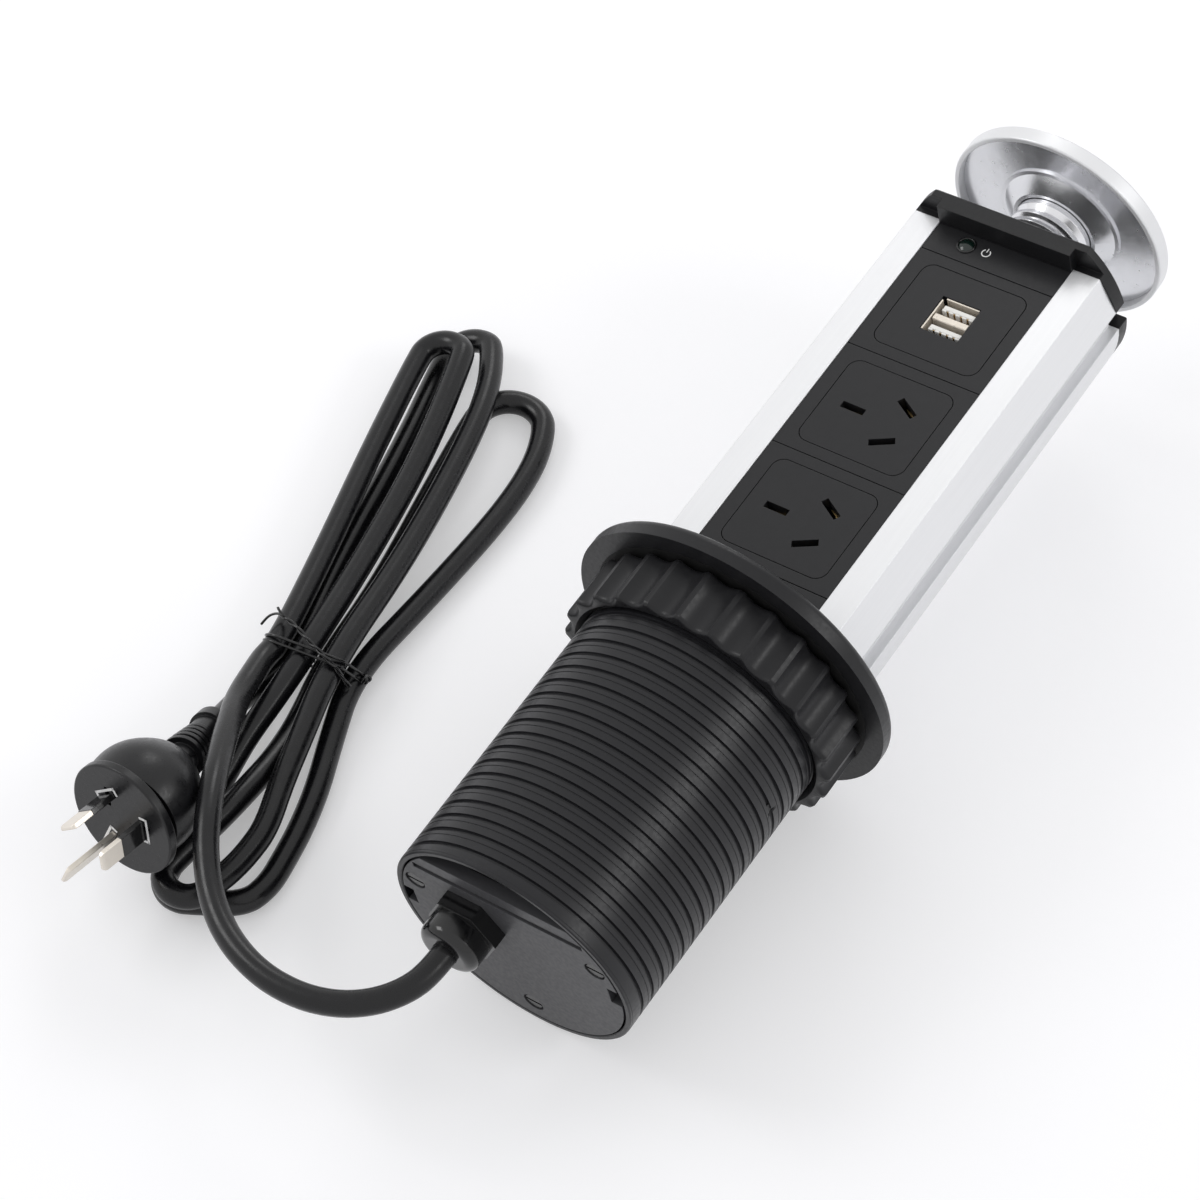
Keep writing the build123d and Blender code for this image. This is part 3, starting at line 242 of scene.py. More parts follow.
def new_piece(name, form, look, body, place=UPRIGHT, sharp=32.0):
    """A mesh piece from (points, faces) in millimetres, placed in the row frame and riding on a body."""
    points, faces = form
    mesh = bpy.data.meshes.new(name)
    mesh.from_pydata([tuple(place @ Vector(point)) for point in points], [], faces)
    outward = bmesh.new()
    outward.from_mesh(mesh)
    bmesh.ops.recalc_face_normals(outward, faces=outward.faces)
    outward.to_mesh(mesh)
    outward.free()
    for polygon in mesh.polygons:
        polygon.use_smooth = True
    mesh.set_sharp_from_angle(angle=math.radians(sharp))
    mesh.materials.append(looks[look])
    piece = bpy.data.objects.new(name, mesh)
    scene.collection.objects.link(piece)
    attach(piece, body)
    return piece


def loft(rings, closed=False, capped=True):
    """Points and faces of rings joined in order, closed end to end or capped."""
    count = len(rings[0])
    points = [point for ring in rings for point in ring]
    faces = []
    for row in range(len(rings) if closed else len(rings) - 1):
        low = row * count
        high = (row + 1) % len(rings) * count
        for index in range(count):
            beyond = (index + 1) % count
            faces.append((low + index, low + beyond, high + beyond, high + index))
    if capped and not closed:
        faces.append(tuple(range(count))[::-1])
        faces.append(tuple((len(rings) - 1) * count + index for index in range(count)))
    return points, faces


def join(parts):
    """Several (points, faces) pairs as one."""
    points, faces = [], []
    for more_points, more_faces in parts:
        base = len(points)
        points += list(more_points)
        faces += [tuple(base + index for index in face) for face in more_faces]
    return points, faces


def soft_block(x_span, y_span, z_span, edge):
    """A block with chamfered edges all round, as a loft of eight sided rings."""
    (x0, x1), (y0, y1), (z0, z1) = x_span, y_span, z_span

    def ring(z, inset):
        ax, bx, ay, by = x0 + inset, x1 - inset, y0 + inset, y1 - inset
        return [(ax + edge, ay, z), (bx - edge, ay, z), (bx, ay + edge, z), (bx, by - edge, z),
                (bx - edge, by, z), (ax + edge, by, z), (ax, by - edge, z), (ax, ay + edge, z)]

    return loft([ring(z0, edge), ring(z0 + edge, 0), ring(z1 - edge, 0), ring(z1, edge)])


def circle(radius, z, count, turn):
    return [(radius * math.cos(turn + 2 * math.pi * index / count),
             radius * math.sin(turn + 2 * math.pi * index / count), z) for index in range(count)]


def new_line(name, points, radius, kind, look, body, closed=False, roundness=3, smoothness=6):
    """A round tube along a line of points, all in metres."""
    line = bpy.data.curves.new(name, "CURVE")
    line.dimensions = "3D"
    line.bevel_depth = radius
    line.bevel_resolution = roundness
    line.resolution_u = smoothness
    line.use_fill_caps = True
    run = line.splines.new(kind)
    run.points.add(len(points) - 1)
    for point, place in zip(run.points, points):
        point.co = (*place, 1)
    run.use_cyclic_u = closed
    if kind == "NURBS":
        run.order_u = 3
        run.use_endpoint_u = not closed
    line.materials.append(looks[look])
    piece = bpy.data.objects.new(name, line)
    scene.collection.objects.link(piece)
    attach(piece, body)
    return piece


# Mains cord, in metres: one smooth line from the gland, round the hank, to the plug's collar

CORD_R = 0.0038
GLAND_MOUTH = Vector((-0.154387, 0.012968, 0.041441))
LEAD = [
    (-0.1619, 0.0130, 0.0406), (-0.1698, 0.0156, 0.0400), (-0.1772, 0.0212, 0.0392),
    (-0.1827, 0.0294, 0.0383), (-0.1858, 0.0402, 0.0374), (-0.1856, 0.0536, 0.0366),
    (-0.1809, 0.0680, 0.0362), (-0.1726, 0.0800, 0.0364), (-0.1622, 0.0896, 0.0372),
    (-0.1533, 0.0956, 0.0382), (-0.1425, 0.1021, 0.0370), (-0.1303, 0.1091, 0.0325),
    (-0.1178, 0.1162, 0.0266), (-0.1062, 0.1229, 0.0198), (-0.0949, 0.1261, 0.0164),
]
WAIST = Vector((-0.0769, 0.1164, 0.0096))
WAIST_TURN = math.radians(10.0)
WAIST_LEAN = math.radians(21.3)
# Where each strand passes the tie: across the hank, and height
SLOTS = {
    "in": (0.0116, 0.0140), "second": (0.0029, 0.0140), "third": (-0.0098, 0.0058),
    "fourth": (-0.0010, 0.0058), "fifth": (-0.0059, 0.0140), "last": (0.0089, 0.0058),
}
# Each fold: slots, headings in degrees, arc steps, centre, radius, heights, and rows in and out
# (share of the way, offset to its left, height)
FOLDS = (
    ("in", "second", (13, -150), 5, (0.03596, 0.1530), 0.0074, (0.0126, 0.0170),
     ((0.33, 0.0002, 0.0120), (0.67, 0.0007, 0.0120)),
     ((0.33, 0.0030, 0.0144), (0.67, 0.0020, 0.0128))),
    ("second", "third", (200, 314), 4, (-0.15704, 0.1026), 0.0076, (0.0039, 0.0039),
     ((0.21, -0.0005, 0.0120), (0.4, -0.0018, 0.0095), (0.58, -0.0016, 0.0058), (0.78, -0.0008, 0.0039)),
     ((0.07, -0.0135, 0.0039), (0.17, -0.0162, 0.0039), (0.28, -0.0155, 0.0039), (0.41, -0.0142, 0.0039),
      (0.57, -0.0112, 0.0039), (0.74, -0.0063, 0.0039))),
    ("third", "fourth", (35, 193), 5, (0.03196, 0.1244), 0.0115, (0.0039, 0.0039),
     ((0.33, -0.0032, 0.0039), (0.67, -0.0062, 0.0039), (0.87, -0.0050, 0.0039)),
     ((0.33, 0.0006, 0.0039), (0.67, 0.0018, 0.0039))),
    ("fourth", "fifth", (200, 372), 5, (-0.15974, 0.0998), 0.0076, (0.0120, 0.0120),
     ((0.23, 0.0032, 0.0039), (0.41, 0.0049, 0.0064), (0.56, 0.0053, 0.0098), (0.76, 0.0042, 0.0120)),
     ((0.07, -0.0026, 0.0120), (0.16, -0.0046, 0.0120), (0.28, -0.0059, 0.0120), (0.47, -0.0035, 0.0120),
      (0.63, -0.0023, 0.0120))),
    ("fifth", "last", (50, 193), 5, (0.04616, 0.1498), 0.0080, (0.0098, 0.0039),
     ((0.33, -0.0052, 0.0120), (0.67, -0.0072, 0.0120), (0.86, -0.0059, 0.0120)),
     ((0.33, 0.0008, 0.0039), (0.67, -0.0017, 0.0039))),
)
TAIL = [(-0.0880, 0.1276, 0.00395), (-0.0992, 0.1286, 0.0063)]
COLLAR = Vector((-0.11544, 0.1253, 0.0142))
COLLAR_WAY = Vector((0.8447, 0.1988, -0.4969))


def waist_slot(name):
    """Where a strand passes the tie."""
    across, z = SLOTS[name]
    back = math.tan(WAIST_LEAN) * (z - WAIST.z)
    x = WAIST.x - math.sin(WAIST_TURN) * across - back
    return Vector((x, WAIST.y + math.cos(WAIST_TURN) * across, z))


def way_points(start, end, rows):
    """Points between a slot and an arc: each a share of the way, an offset to its left and a height."""
    span = math.hypot(end.x - start.x, end.y - start.y)
    left = Vector((-(end.y - start.y) / span, (end.x - start.x) / span, 0))
    points = []
    for share, aside, z in rows:
        place = start + (end - start) * share + left * aside
        points.append(Vector((place.x, place.y, z)))
    return points


def fold_points(start, end, turns, steps, centre, radius, heights, rows_in, rows_out):
    """A fold of the hank from one slot at the tie, round its arc, and back to the next slot."""
    side = 1 if turns[1] > turns[0] else -1
    arc = []
    for step in range(steps + 1):
        share = step / steps
        heading = math.radians(turns[0] + (turns[1] - turns[0]) * share)
        arc.append(Vector((centre[0] + side * radius * math.sin(heading),
                           centre[1] - side * radius * math.cos(heading),
                           heights[0] + (heights[1] - heights[0]) * share)))
    first = waist_slot(start)
    way_in = way_points(first, arc[0], rows_in)
    return [first] + way_in + arc + way_points(arc[-1], waist_slot(end), rows_out)


def cord_route():
    """The cord's control points, from the gland's mouth to the plug's collar."""
    lead = [Vector(point) for point in LEAD]
    route = [GLAND_MOUTH] + lead + [lead[-1] + (lead[-1] - lead[-2]).normalized() * 2 * CORD_R]
    for fold in FOLDS:
        route += fold_points(*fold)
    return route + [waist_slot("last")] + [Vector(point) for point in TAIL] + [
        COLLAR + COLLAR_WAY * 2 * CORD_R, COLLAR]


mains_cord = new_line("mains_cord", cord_route(), CORD_R, "NURBS", "cord_black", "tower", roundness=6,
                      smoothness=10)
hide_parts("cord_lead", "cord_hank")


# Wire tie round the hank's waist: two turns, a knot and two twisted ends

TIE_R, TIE_END_R, TIE_REACH = 0.45, 0.4, 4.75
TURN_OFFSETS, TURN_SWAY, HULL_STEPS = (-0.95, 0.85), 0.35, 72
KNOT_ACROSS, KNOT_UP, KNOT_RINGS, KNOT_STEPS = -15.4, -1.6, 3, 12
KNOT_ALONG_R, KNOT_UP_R, KNOT_SWAY, KNOT_SPACING = 1.25, 1.5, 0.55, 0.5
TWIST = [Vector(point) for point in ((-79.8, 102.6, 10.2), (-80.6, 106.5, 17.2), (-80.2, 111.5, 19.9),
                                     (-79.0, 117.2, 20.6), (-76.9, 123.5, 20.6), (-75.6, 129.2, 19.9))]
TWIST_STEPS, TWIST_TURNS, TWIST_R = 48, 3.5, 0.42
FREE_ENDS = (
    [(-75.0, 131.4, 19.6), (-75.9, 133.4, 18.9), (-77.4, 134.7, 17.7), (-79.3, 135.4, 15.9)],
    [(-75.3, 131.0, 20.6), (-74.3, 132.6, 20.9)],
)
tie_middle = WAIST / MM
across_way = Vector((-math.sin(WAIST_TURN), math.cos(WAIST_TURN), 0))
up_way = Vector((-math.sin(WAIST_LEAN) * math.cos(WAIST_TURN), -math.sin(WAIST_LEAN) * math.sin(WAIST_TURN),
                 math.cos(WAIST_LEAN)))
along_way = across_way.cross(up_way)


def waist_hull(reach):
    """Points (across, up) on a tight loop round the six strands, at a distance from their centres."""
    spots = []
    for across, z in SLOTS.values():
        for step in range(HULL_STEPS):
            angle = 2 * math.pi * step / HULL_STEPS
            spots.append((across / MM + reach * math.cos(angle),
                          (z - WAIST.z) / MM / math.cos(WAIST_LEAN) + reach * math.sin(angle)))
    spots.sort()

    def half(ordered):
        chain = []
        for spot in ordered:
            while len(chain) > 1 and ((chain[-1][0] - chain[-2][0]) * (spot[1] - chain[-2][1])
                                      - (chain[-1][1] - chain[-2][1]) * (spot[0] - chain[-2][0])) <= 0:
                chain.pop()
            chain.append(spot)
        return chain[:-1]

    return half(spots) + half(spots[::-1])


def smooth_place(points, share):
    """A point on a smooth line through points, and its direction."""
    reach = share * (len(points) - 1)
    index = min(int(reach), len(points) - 2)
    rest = reach - index
    before = points[max(index - 1, 0)]
    start, end = points[index], points[index + 1]
    after = points[min(index + 2, len(points) - 1)]
    way_in, way_out = (end - before) / 2, (after - start) / 2
    place = (start * (2 * rest**3 - 3 * rest**2 + 1) + way_in * (rest**3 - 2 * rest**2 + rest)
             + end * (3 * rest**2 - 2 * rest**3) + way_out * (rest**3 - rest**2))
    return place, (end - start).normalized()


def tie_wire(name, points, radius, kind="NURBS", closed=False):
    """A piece of the tie's wire, from points in millimetres."""
    piece = new_line(name, [Vector(point) * MM for point in points], radius * MM, kind, "gloss_black", "tower",
                     closed)
    return piece


def tie_turn(number, offset):
    hull = waist_hull(TIE_REACH)
    loop = []
    for index, (across, rise) in enumerate(hull):
        sway = TURN_SWAY * math.sin(2 * math.pi * index / len(hull) + number)
        loop.append(tie_middle + across_way * across + up_way * rise + along_way * (offset + sway))
    return tie_wire(f"tie_turn_{number + 1}", loop, TIE_R, "POLY", closed=True)


def tie_end(number, end):
    strand = []
    for step in range(TWIST_STEPS + 1):
        place, way = smooth_place(TWIST, step / TWIST_STEPS)
        side = way.cross(Vector((0, 0, 1))).normalized()
        angle = math.pi * number + 2 * math.pi * TWIST_TURNS * step / TWIST_STEPS
        strand.append(place + (side * math.cos(angle) + side.cross(way) * math.sin(angle)) * TWIST_R)
    tie_wire(f"tie_end_{number + 1}", strand + end, TIE_END_R)


def tie_knot(number):
    knot = tie_middle + across_way * KNOT_ACROSS + up_way * KNOT_UP
    ring = []
    for step in range(KNOT_STEPS):
        angle = 2 * math.pi * step / KNOT_STEPS
        aside = KNOT_SWAY * math.sin(2 * angle + number) + KNOT_SPACING * (number - 1)
        ring.append(knot + along_way * (KNOT_ALONG_R * math.cos(angle))
                    + up_way * (KNOT_UP_R * math.sin(angle)) + across_way * aside)
    tie_wire(f"tie_knot_{number + 1}", ring, TIE_END_R, closed=True)


turns_of_tie = [tie_turn(number, offset) for number, offset in enumerate(TURN_OFFSETS)]
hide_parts("hank_tie")
for number, end in enumerate(FREE_ENDS):
    tie_end(number, end)
for number in range(KNOT_RINGS):
    tie_knot(number)


# Threaded sleeve: a single start groove and a fine line under it, cut in one spiral strip

SLEEVE_R, BORE_R, SLEEVE_LOW, SLEEVE_TOP = 38.95, 37.1, -108.4, 2.8
PITCH, TURNS, COLUMNS = 5.0, 20, 240
# Rise and depth over one pitch: the groove, the land, and the fine line under the next groove
THREAD_PROFILE = [(0.0, 0.0), (0.14, 0.6), (0.34, 0.85), (1.04, 0.85), (1.24, 0.6), (1.38, 0.0), (2.2, 0.0),
                  (3.45, 0.0), (3.57, 0.17), (3.8, 0.17), (3.92, 0.0), (4.5, 0.0)]
THREAD_START, THREAD_TURN = -106.87, math.radians(-225.0)
FADE_PART = 14  # the groove runs out over this part of a turn
# The lower rim's section: how far in from the sleeve's face or the bore's wall, and above its lower end
RIM_OUTSIDE = ((0.0, 1.1), (0.1, 0.9), (0.1, 0.35), (0.45, 0.0))
RIM_INSIDE = ((0.3, 0.0), (0.0, 0.3))
THREAD_SHARP = 24
NOTCH_Z, NOTCH_HALF_W, NOTCH_HALF_H, NOTCH_DEPTH, NOTCH_EDGE = -38.0, 0.75, 1.5, 1.1, 0.12
OVERRUN = 1


def thread_form():
    """The sleeve as a closed shell: the spiral strip, a plain band at each end, the end faces and the bore."""
    rows = len(THREAD_PROFILE)
    last = COLUMNS * TURNS
    fade = COLUMNS / FADE_PART
    points, faces, numbers = [], [], {}

    def add(point):
        points.append(point)
        return len(points) - 1

    def at(column, row):
        if row == rows and column + COLUMNS <= last:
            return at(column + COLUMNS, 0)
        offset, depth = (PITCH, 0.0) if row == rows else THREAD_PROFILE[row]
        if (column, row) not in numbers:
            angle = THREAD_TURN + 2 * math.pi * column / COLUMNS
            radius = SLEEVE_R - depth * min(1, column / fade, (last - column) / fade)
            z = THREAD_START + PITCH * column / COLUMNS + offset
            numbers[(column, row)] = add((radius * math.cos(angle), radius * math.sin(angle), z))
        return numbers[(column, row)]

    for column in range(last):
        for row in range(rows):
            near, far = (at(column, row), at(column + 1, row)), (at(column + 1, row + 1), at(column, row + 1))
            faces.append(near + far)

    def band(radius, z):
        return [add(point) for point in circle(radius, z, COLUMNS, THREAD_TURN)]

    lowest, *lower = [band(SLEEVE_R - inset, SLEEVE_LOW + rise) for inset, rise in RIM_OUTSIDE] + [
        band(BORE_R + inset, SLEEVE_LOW + rise) for inset, rise in RIM_INSIDE]
    highest, bore_end = band(SLEEVE_R, SLEEVE_TOP), band(BORE_R, SLEEVE_TOP)
    rings = [lowest, *lower, bore_end, highest]
    for first, second in zip(rings, rings[1:]):
        for index in range(COLUMNS):
            beyond = (index + 1) % COLUMNS
            faces.append((first[index], first[beyond], second[beyond], second[index]))
    for index in range(COLUMNS - 1):
        faces.append((lowest[index], lowest[index + 1], at(index + 1, 0), at(index, 0)))
        base = last - COLUMNS + index
        faces.append((highest[index], highest[index + 1], at(base + 1, rows), at(base, rows)))
    start_edge = [at(0, row) for row in range(rows)] + [at(COLUMNS, 0), at(COLUMNS - 1, 0)]
    faces.append(tuple([lowest[-1], lowest[0]] + start_edge))
    end_edge = [at(last, row) for row in range(rows + 1)][::-1] + [at(last - 1, rows)]
    faces.append(tuple([highest[-1], highest[0]] + end_edge))
    return points, faces


def cut_away(piece, cutter):
    """Take a cutter's shape out of a piece for good."""
    cut = piece.modifiers.new("cut", "BOOLEAN")
    cut.operation = "DIFFERENCE"
    cut.solver = "EXACT"
    cut.object = cutter
    bpy.context.view_layer.update()
    piece.data = bpy.data.meshes.new_from_object(piece.evaluated_get(bpy.context.evaluated_depsgraph_get()))
    piece.modifiers.clear()
    bpy.data.objects.remove(cutter)


sleeve = new_piece("sleeve_thread", thread_form(), "thread_black", "sleeve", sharp=THREAD_SHARP)
cut_away(sleeve, new_piece("notch_cutter", soft_block(
    (SLEEVE_R - NOTCH_DEPTH, SLEEVE_R + OVERRUN), (-NOTCH_HALF_W, NOTCH_HALF_W),
    (NOTCH_Z - NOTCH_HALF_H, NOTCH_Z + NOTCH_HALF_H), NOTCH_EDGE), "thread_black", "sleeve"))
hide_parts("threaded_sleeve")


# Clamp nut: broad concave flutes between narrow ridges, with rounded rims

NUT_R, VALLEY_R, NUT_TOP, NUT_LOW, NUT_BORE, NUT_LEAD_IN = 44.8, 42.5, -1.0, -18.5, 39.25, 1.6
LOBES, LOBE_STEPS, NUT_TURN, NUT_MIDDLE = 26, 28, math.radians(-93.3), -9.0
FLUTE_SHARE, CREST_DROP_SHARE, NUT_SHARP = 0.86, 0.04, 40
# The rounded rims: how far in from the rim's end, and how far the outline is drawn in
LOW_RIM = ((0.0, 1.5), (0.1, 0.9), (0.4, 0.4), (0.9, 0.1), (1.5, 0.0))
TOP_RIM = ((1.5, 0.0), (0.7, 0.15), (0.2, 0.6), (0.0, 1.3))


def nut_ring(z, inset):
    """One section of the nut's fluted outside, drawn in by a distance."""
    ring = []
    for index in range(LOBES * LOBE_STEPS):
        angle = NUT_TURN + 2 * math.pi * index / (LOBES * LOBE_STEPS)
        share = index / LOBE_STEPS % 1
        off_valley = min(share, 1 - share) / 0.5
        flute = min(1, (off_valley / FLUTE_SHARE) ** 2)
        crest = max(0, (off_valley - FLUTE_SHARE) / (1 - FLUTE_SHARE))
        radius = VALLEY_R + (NUT_R - VALLEY_R) * (flute - CREST_DROP_SHARE * crest**2) - inset
        ring.append((radius * math.cos(angle), radius * math.sin(angle), z))
    return ring


def nut_form():
    def bore_ring(radius, z):
        return circle(radius, z, LOBES * LOBE_STEPS, NUT_TURN)

    bore = [bore_ring(NUT_BORE, NUT_TOP), bore_ring(NUT_BORE, NUT_LOW + NUT_LEAD_IN),
            bore_ring(NUT_BORE + NUT_LEAD_IN, NUT_LOW)]
    outside = [nut_ring(NUT_LOW + rise, inset) for rise, inset in LOW_RIM] + [nut_ring(NUT_MIDDLE, 0.0)] + [
        nut_ring(NUT_TOP - drop, inset) for drop, inset in TOP_RIM]
    return loft(bore + outside, closed=True)


nut = new_piece("nut_grip", nut_form(), "ring_black", "nut", sharp=NUT_SHARP)
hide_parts("clamp_nut")


# Double USB port: stamped shell, two tongues with their contacts

FACE_Y = -17.62
USB_BACK, USB_PLATE_FRONT, USB_PLATE_BACK, USB_PLATE_EDGE = -4.5, -5.6, -4.6, 0.1
# Each bar of the shell: spans across and up the panel, recess behind its face, and edge
USB_BARS = (
    ((-5.2, 6.1), (129.35, 129.85), 0.25, 0.08),
    ((-6.45, -5.95), (116.75, 128.9), 0.25, 0.08),
    ((-5.6, 6.25), (121.5, 123.8), 0.35, 0.25),
)
USB_PLATE_X, USB_PLATE_Z = (-6.3, 6.2), (116.7, 129.7)
TONGUE_LOWS, TONGUE_X, TONGUE_RISES = (125.6, 117.75), (-4.7, 6.1), (0.55, 2.2)
TONGUE_RECESS, TONGUE_EDGE = 0.9, 0.2
TOOTH_COUNT, TOOTH_PITCH, TOOTH_W, TOOTH_H, TOOTH_EDGE = 5, 2.3, 1.45, 0.7, 0.1
LEAF_START, LEAF_W, LEAF_RISES, LEAF_RECESS, LEAF_EDGE = -3.2, 0.75, (0.3, 0.52), 1.3, 0.04


def usb_shell_form():
    bars = [soft_block(x_span, (FACE_Y + recess, USB_BACK), z_span, edge)
            for x_span, z_span, recess, edge in USB_BARS]
    plate = soft_block(USB_PLATE_X, (USB_PLATE_FRONT, USB_PLATE_BACK), USB_PLATE_Z, USB_PLATE_EDGE)
    return join(bars + [plate])


def usb_tongue_form(low):
    depth = (FACE_Y + TONGUE_RECESS, USB_PLATE_FRONT)
    parts = [soft_block(TONGUE_X, depth, (low + TONGUE_RISES[0], low + TONGUE_RISES[1]), TONGUE_EDGE)]
    for number in range(TOOTH_COUNT):
        x = TONGUE_X[0] + number * TOOTH_PITCH
        parts.append(soft_block((x, min(x + TOOTH_W, TONGUE_X[1])), depth, (low, low + TOOTH_H), TOOTH_EDGE))
    return join(parts)


def usb_leaf_form(low):
    parts = []
    for number in range(TOOTH_COUNT - 1):
        x = LEAF_START + number * TOOTH_PITCH
        parts.append(soft_block((x, x + LEAF_W), (FACE_Y + LEAF_RECESS, USB_PLATE_FRONT),
                                (low + LEAF_RISES[0], low + LEAF_RISES[1]), LEAF_EDGE))
    return join(parts)


usb_metal = new_piece("usb_port_metal", usb_shell_form(), "shell_metal", "tower")
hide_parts("usb_shell")
usb_white = new_piece("usb_port_tongues", join(usb_tongue_form(low) for low in TONGUE_LOWS), "white_plastic",
                      "tower")
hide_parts("usb_tongues")
usb_gold = new_piece("usb_port_contacts", join(usb_leaf_form(low) for low in TONGUE_LOWS), "gold", "tower")
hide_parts("usb_contacts")


# Indicator: a rim round the lens, and a plain power symbol beside it

LENS_X, LENS_Z = -10.8, 149.7
LENS_RIM_R, LENS_RIM_OUTER_R, LENS_RIM_H, LENS_RIM_EDGE = 2.35, 3.05, 0.45, 0.15
SYMBOL_X, SYMBOL_Z, SYMBOL_R, SYMBOL_OUTER_R, SYMBOL_T, SYMBOL_EDGE = -3.9, 149.6, 1.15, 1.5, 0.06, 0.02
SYMBOL_FROM, SYMBOL_TO, STROKE_HALF_W, STROKE_RISES = 125, 415, 0.18, (0.3, 1.75)
RIM_STEPS, SYMBOL_STEPS, FULL_TURN = 48, 64, 360


def annulus(x, z, inner, outer, thick, edge, count, start=0, end=FULL_TURN):
    """A raised ring, or part of one, on the panel."""
    whole = end - start >= FULL_TURN
    steps = count if whole else int(count * (end - start) / FULL_TURN)
    section = [(inner, 0), (inner, -thick + edge), (inner + edge, -thick),
               (outer - edge, -thick), (outer, -thick + edge), (outer, 0)]
    rings = []
    for step in range(steps if whole else steps + 1):
        angle = math.radians(start + (end - start) * step / steps)
        rings.append([(x + radius * math.cos(angle), FACE_Y + rise, z + radius * math.sin(angle))
                      for radius, rise in section])
    return loft(rings, closed=whole, capped=not whole)


def power_symbol_form():
    stroke = soft_block((SYMBOL_X - STROKE_HALF_W, SYMBOL_X + STROKE_HALF_W), (FACE_Y - SYMBOL_T, FACE_Y),
                        (SYMBOL_Z + STROKE_RISES[0], SYMBOL_Z + STROKE_RISES[1]), SYMBOL_EDGE)
    return join([annulus(SYMBOL_X, SYMBOL_Z, SYMBOL_R, SYMBOL_OUTER_R, SYMBOL_T, SYMBOL_EDGE, SYMBOL_STEPS,
                         SYMBOL_FROM, SYMBOL_TO), stroke])


rim = new_piece("lens_rim", annulus(LENS_X, LENS_Z, LENS_RIM_R, LENS_RIM_OUTER_R, LENS_RIM_H, LENS_RIM_EDGE,
                                    RIM_STEPS), "gloss_black", "tower")
power_mark = new_piece("power_symbol", power_symbol_form(), "mark_white", "tower")


# Plug: its three pins, the sleeves of two of them, and pale outlines round their roots

PLUG_CENTRE = Vector((-165.98, 116.78, 33.61))
PLUG_OUT, PLUG_UP = Vector((-0.9805, 0.05, 0.1901)).normalized(), Vector((0.1657, -0.3095, 0.9363))
# Each pin: its place on the face, turn of its long side, length, and the side that its outline lies on
PINS = ((-6.86, 3.96, 60.0, 17.06, 1), (6.86, 3.96, 120.0, 17.06, -1), (0.0, -10.31, 90.0, 19.94, 1))
PIN_W, PIN_T, PIN_ROOT, PIN_TIP, PIN_CORNER = 6.35, 1.63, -1.0, 1.3, 0.15
PIN_SLEEVE_WALL, PIN_SLEEVE_H, PIN_SLEEVE_TIP = 0.12, 9.0, 0.1
# The tapered tip: share of its height left above a ring, and how far in the ring is, as a share of it
TIP_SHARES, TIP_THIN_SHARE = ((1.0, 0.0), (0.45, 0.22), (0.0, 0.6)), 0.55
# The outline's three arms: spans along and away from the pin
ARMS = (((-4.4, 4.4), (1.5, 2.3)), ((-4.4, -3.6), (-0.6, 2.3)), ((3.6, 4.4), (-0.6, 2.3)))
ARM_T, ARM_EDGE = 0.09, 0.02

plug_up = (PLUG_UP - PLUG_OUT * PLUG_UP.dot(PLUG_OUT)).normalized()
PLUG_FACE = placing(plug_up.cross(PLUG_OUT), plug_up, PLUG_OUT, PLUG_CENTRE)


def on_pin(pin, parts):
    """Parts made round a pin's own middle, put at its place and turn."""
    pin_x, pin_y, turn = pin[0], pin[1], math.radians(pin[2])
    points, faces = join(parts)
    cosine, sine = math.cos(turn), math.sin(turn)
    return [(pin_x + x * cosine - y * sine, pin_y + x * sine + y * cosine, z) for x, y, z in points], faces


def blade(half_w, half_t, high, tip):
    """A flat pin with softened edges and a tapered tip."""
    def ring(z, inset):
        w, t, corner = half_w - inset, half_t - inset * TIP_THIN_SHARE, PIN_CORNER
        return [(w, -t + corner, z), (w, t - corner, z), (w - corner, t, z), (corner - w, t, z),
                (-w, t - corner, z), (-w, corner - t, z), (corner - w, -t, z), (w - corner, -t, z)]

    return loft([ring(PIN_ROOT, 0)] + [ring(high - tip * left, tip * inset) for left, inset in TIP_SHARES])


def outline_arms(side):
    """The three arms of an outline, on one side of a pin."""
    parts = []
    for along, (near, far) in ARMS:
        parts.append(soft_block(along, (near, far) if side > 0 else (-far, -near), (0.0, ARM_T), ARM_EDGE))
    return parts


def blade_sleeve():
    return blade(PIN_W / 2 + PIN_SLEEVE_WALL, PIN_T / 2 + PIN_SLEEVE_WALL, PIN_SLEEVE_H, PIN_SLEEVE_TIP)


blades = new_piece("plug_blades", join(
    on_pin(pin, [blade(PIN_W / 2, PIN_T / 2, pin[3], PIN_TIP)]) for pin in PINS
), "pin_metal", "tower", PLUG_FACE)
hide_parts("plug_pins")
blade_sleeves = new_piece("plug_blade_sleeves", join(on_pin(pin, [blade_sleeve()]) for pin in PINS[:2]),
                          "gloss_black", "tower", PLUG_FACE)
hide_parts("plug_pin_sleeves")
pin_marks = new_piece("pin_outlines", join(on_pin(pin, outline_arms(pin[4])) for pin in PINS),
                      "mark_white", "tower", PLUG_FACE)


# Stage and light, in metres

FLOOR_HALF, FLOOR_DROP = 8, 0.0002
FILL_LEVEL, BACKDROP_LEVEL, FLOOR_GLOW = 0.68, 1.0, 0.35
# Each softbox: place, the point it faces, size, power
SOFTBOXES = {
    "softbox_left": ((-0.35, 0.95, 0.85), (0, 0.05, 0.03), (0.6, 0.45), 3.6),
    "softbox_right": ((0.35, -1.0, 0.8), (0, 0.0, 0.03), (0.6, 0.4), 3.0),
    "softbox_far": ((1.0, 0.5, 0.9), (0, 0.0, 0.03), (0.5, 0.5), 2.0),
}


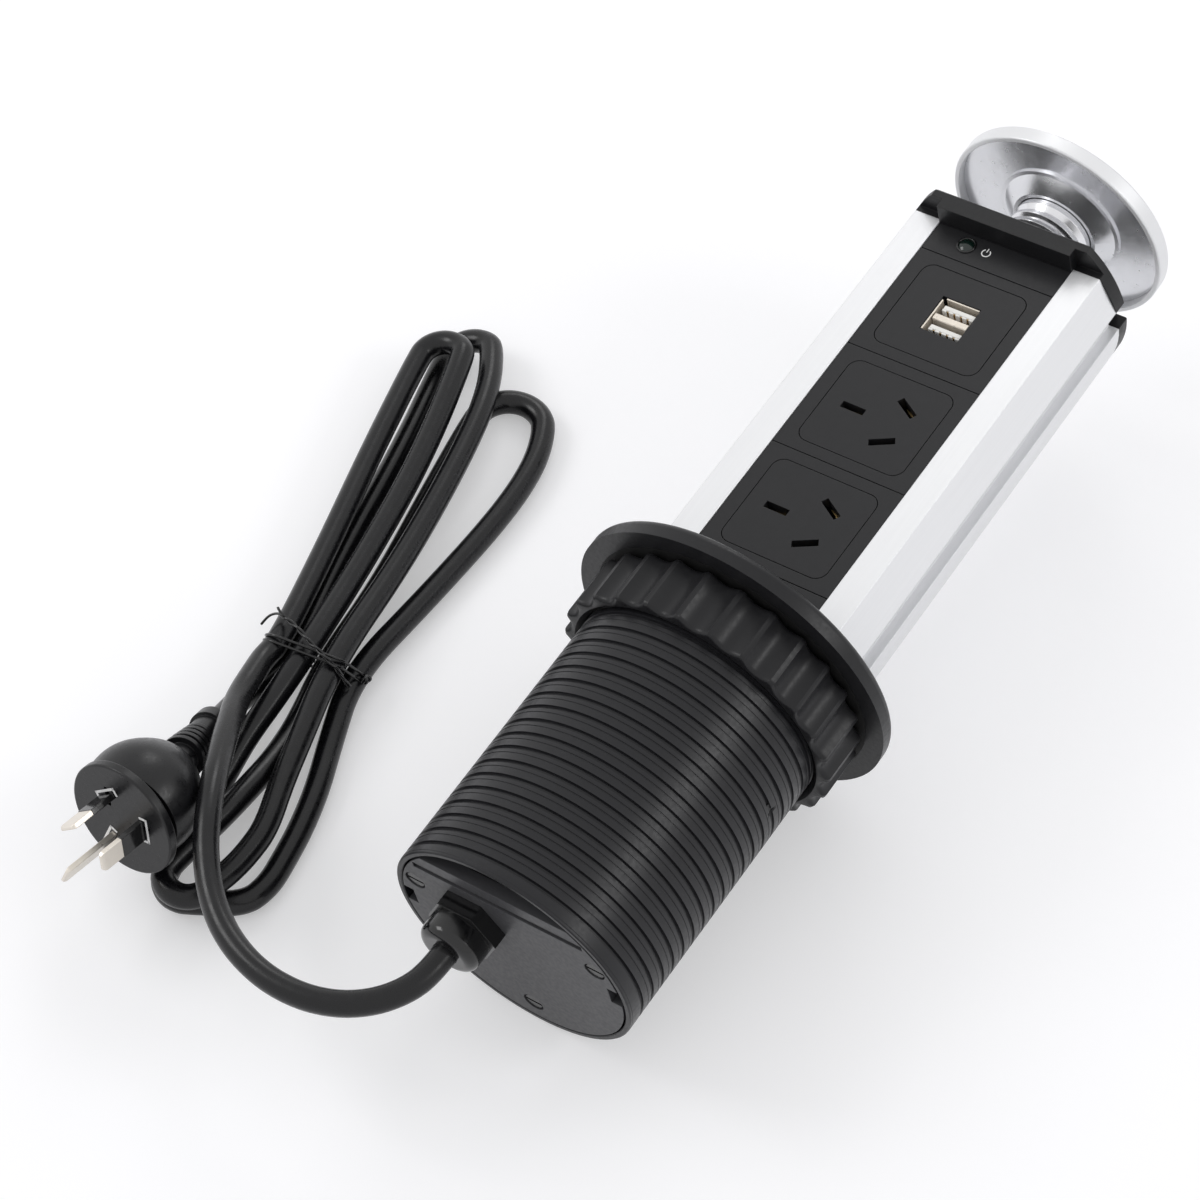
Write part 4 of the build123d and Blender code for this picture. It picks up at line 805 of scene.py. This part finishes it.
def seen_rays(nodes, links):
    """One for camera, glossy and transmission rays, and nothing for the rays that light the object."""
    rays = nodes.new("ShaderNodeLightPath")
    total = rays.outputs["Is Camera Ray"]
    for kind in ("Is Glossy Ray", "Is Transmission Ray"):
        add = nodes.new("ShaderNodeMath")
        links.new(total, add.inputs[0])
        links.new(rays.outputs[kind], add.inputs[1])
        total = add.outputs["Value"]
    return total


def glow_level(nodes, links, unseen, seen):
    """A strength that is one value for the rays that light the object and another for those that show it."""
    level = nodes.new("ShaderNodeMapRange")
    level.inputs["To Min"].default_value = unseen
    level.inputs["To Max"].default_value = seen
    links.new(seen_rays(nodes, links), level.inputs["Value"])
    return level.outputs["Result"]


def whiten_floor():
    """Let the floor glow to the camera and in reflections: it shows white and still keeps its shadow."""
    nodes, links = looks["floor_white"].node_tree.nodes, looks["floor_white"].node_tree.links
    shader = nodes["Principled BSDF"]
    shader.inputs["Emission Color"].default_value = (1, 1, 1, 1)
    links.new(glow_level(nodes, links, 0.0, FLOOR_GLOW), shader.inputs["Emission Strength"])


def add_floor():
    half = FLOOR_HALF
    mesh = bpy.data.meshes.new("floor")
    corners = [(-half, -half, 0), (half, -half, 0), (half, half, 0), (-half, half, 0)]
    mesh.from_pydata(corners, [], [(0, 1, 2, 3)])
    mesh.materials.append(looks["floor_white"])
    floor = bpy.data.objects.new("floor", mesh)
    floor.location.z = -FLOOR_DROP
    scene.collection.objects.link(floor)


def add_backdrop():
    """A world that is plain white to the camera and a soft fill to everything else."""
    world = bpy.data.worlds.new("studio")
    scene.world = world
    world.use_nodes = True
    nodes, links = world.node_tree.nodes, world.node_tree.links
    background = nodes["Background"]
    background.inputs["Color"].default_value = (1, 1, 1, 1)
    links.new(glow_level(nodes, links, FILL_LEVEL, BACKDROP_LEVEL), background.inputs["Strength"])


def add_softbox(name, place, target, size, power):
    data = bpy.data.lights.new(name, "AREA")
    data.shape = "RECTANGLE"
    data.size, data.size_y = size
    data.energy = power
    lamp = bpy.data.objects.new(name, data)
    lamp.location = place
    lamp.rotation_euler = (Vector(target) - Vector(place)).to_track_quat("-Z", "Y").to_euler()
    scene.collection.objects.link(lamp)


whiten_floor()
add_floor()
add_backdrop()
for name, values in SOFTBOXES.items():
    add_softbox(name, *values)
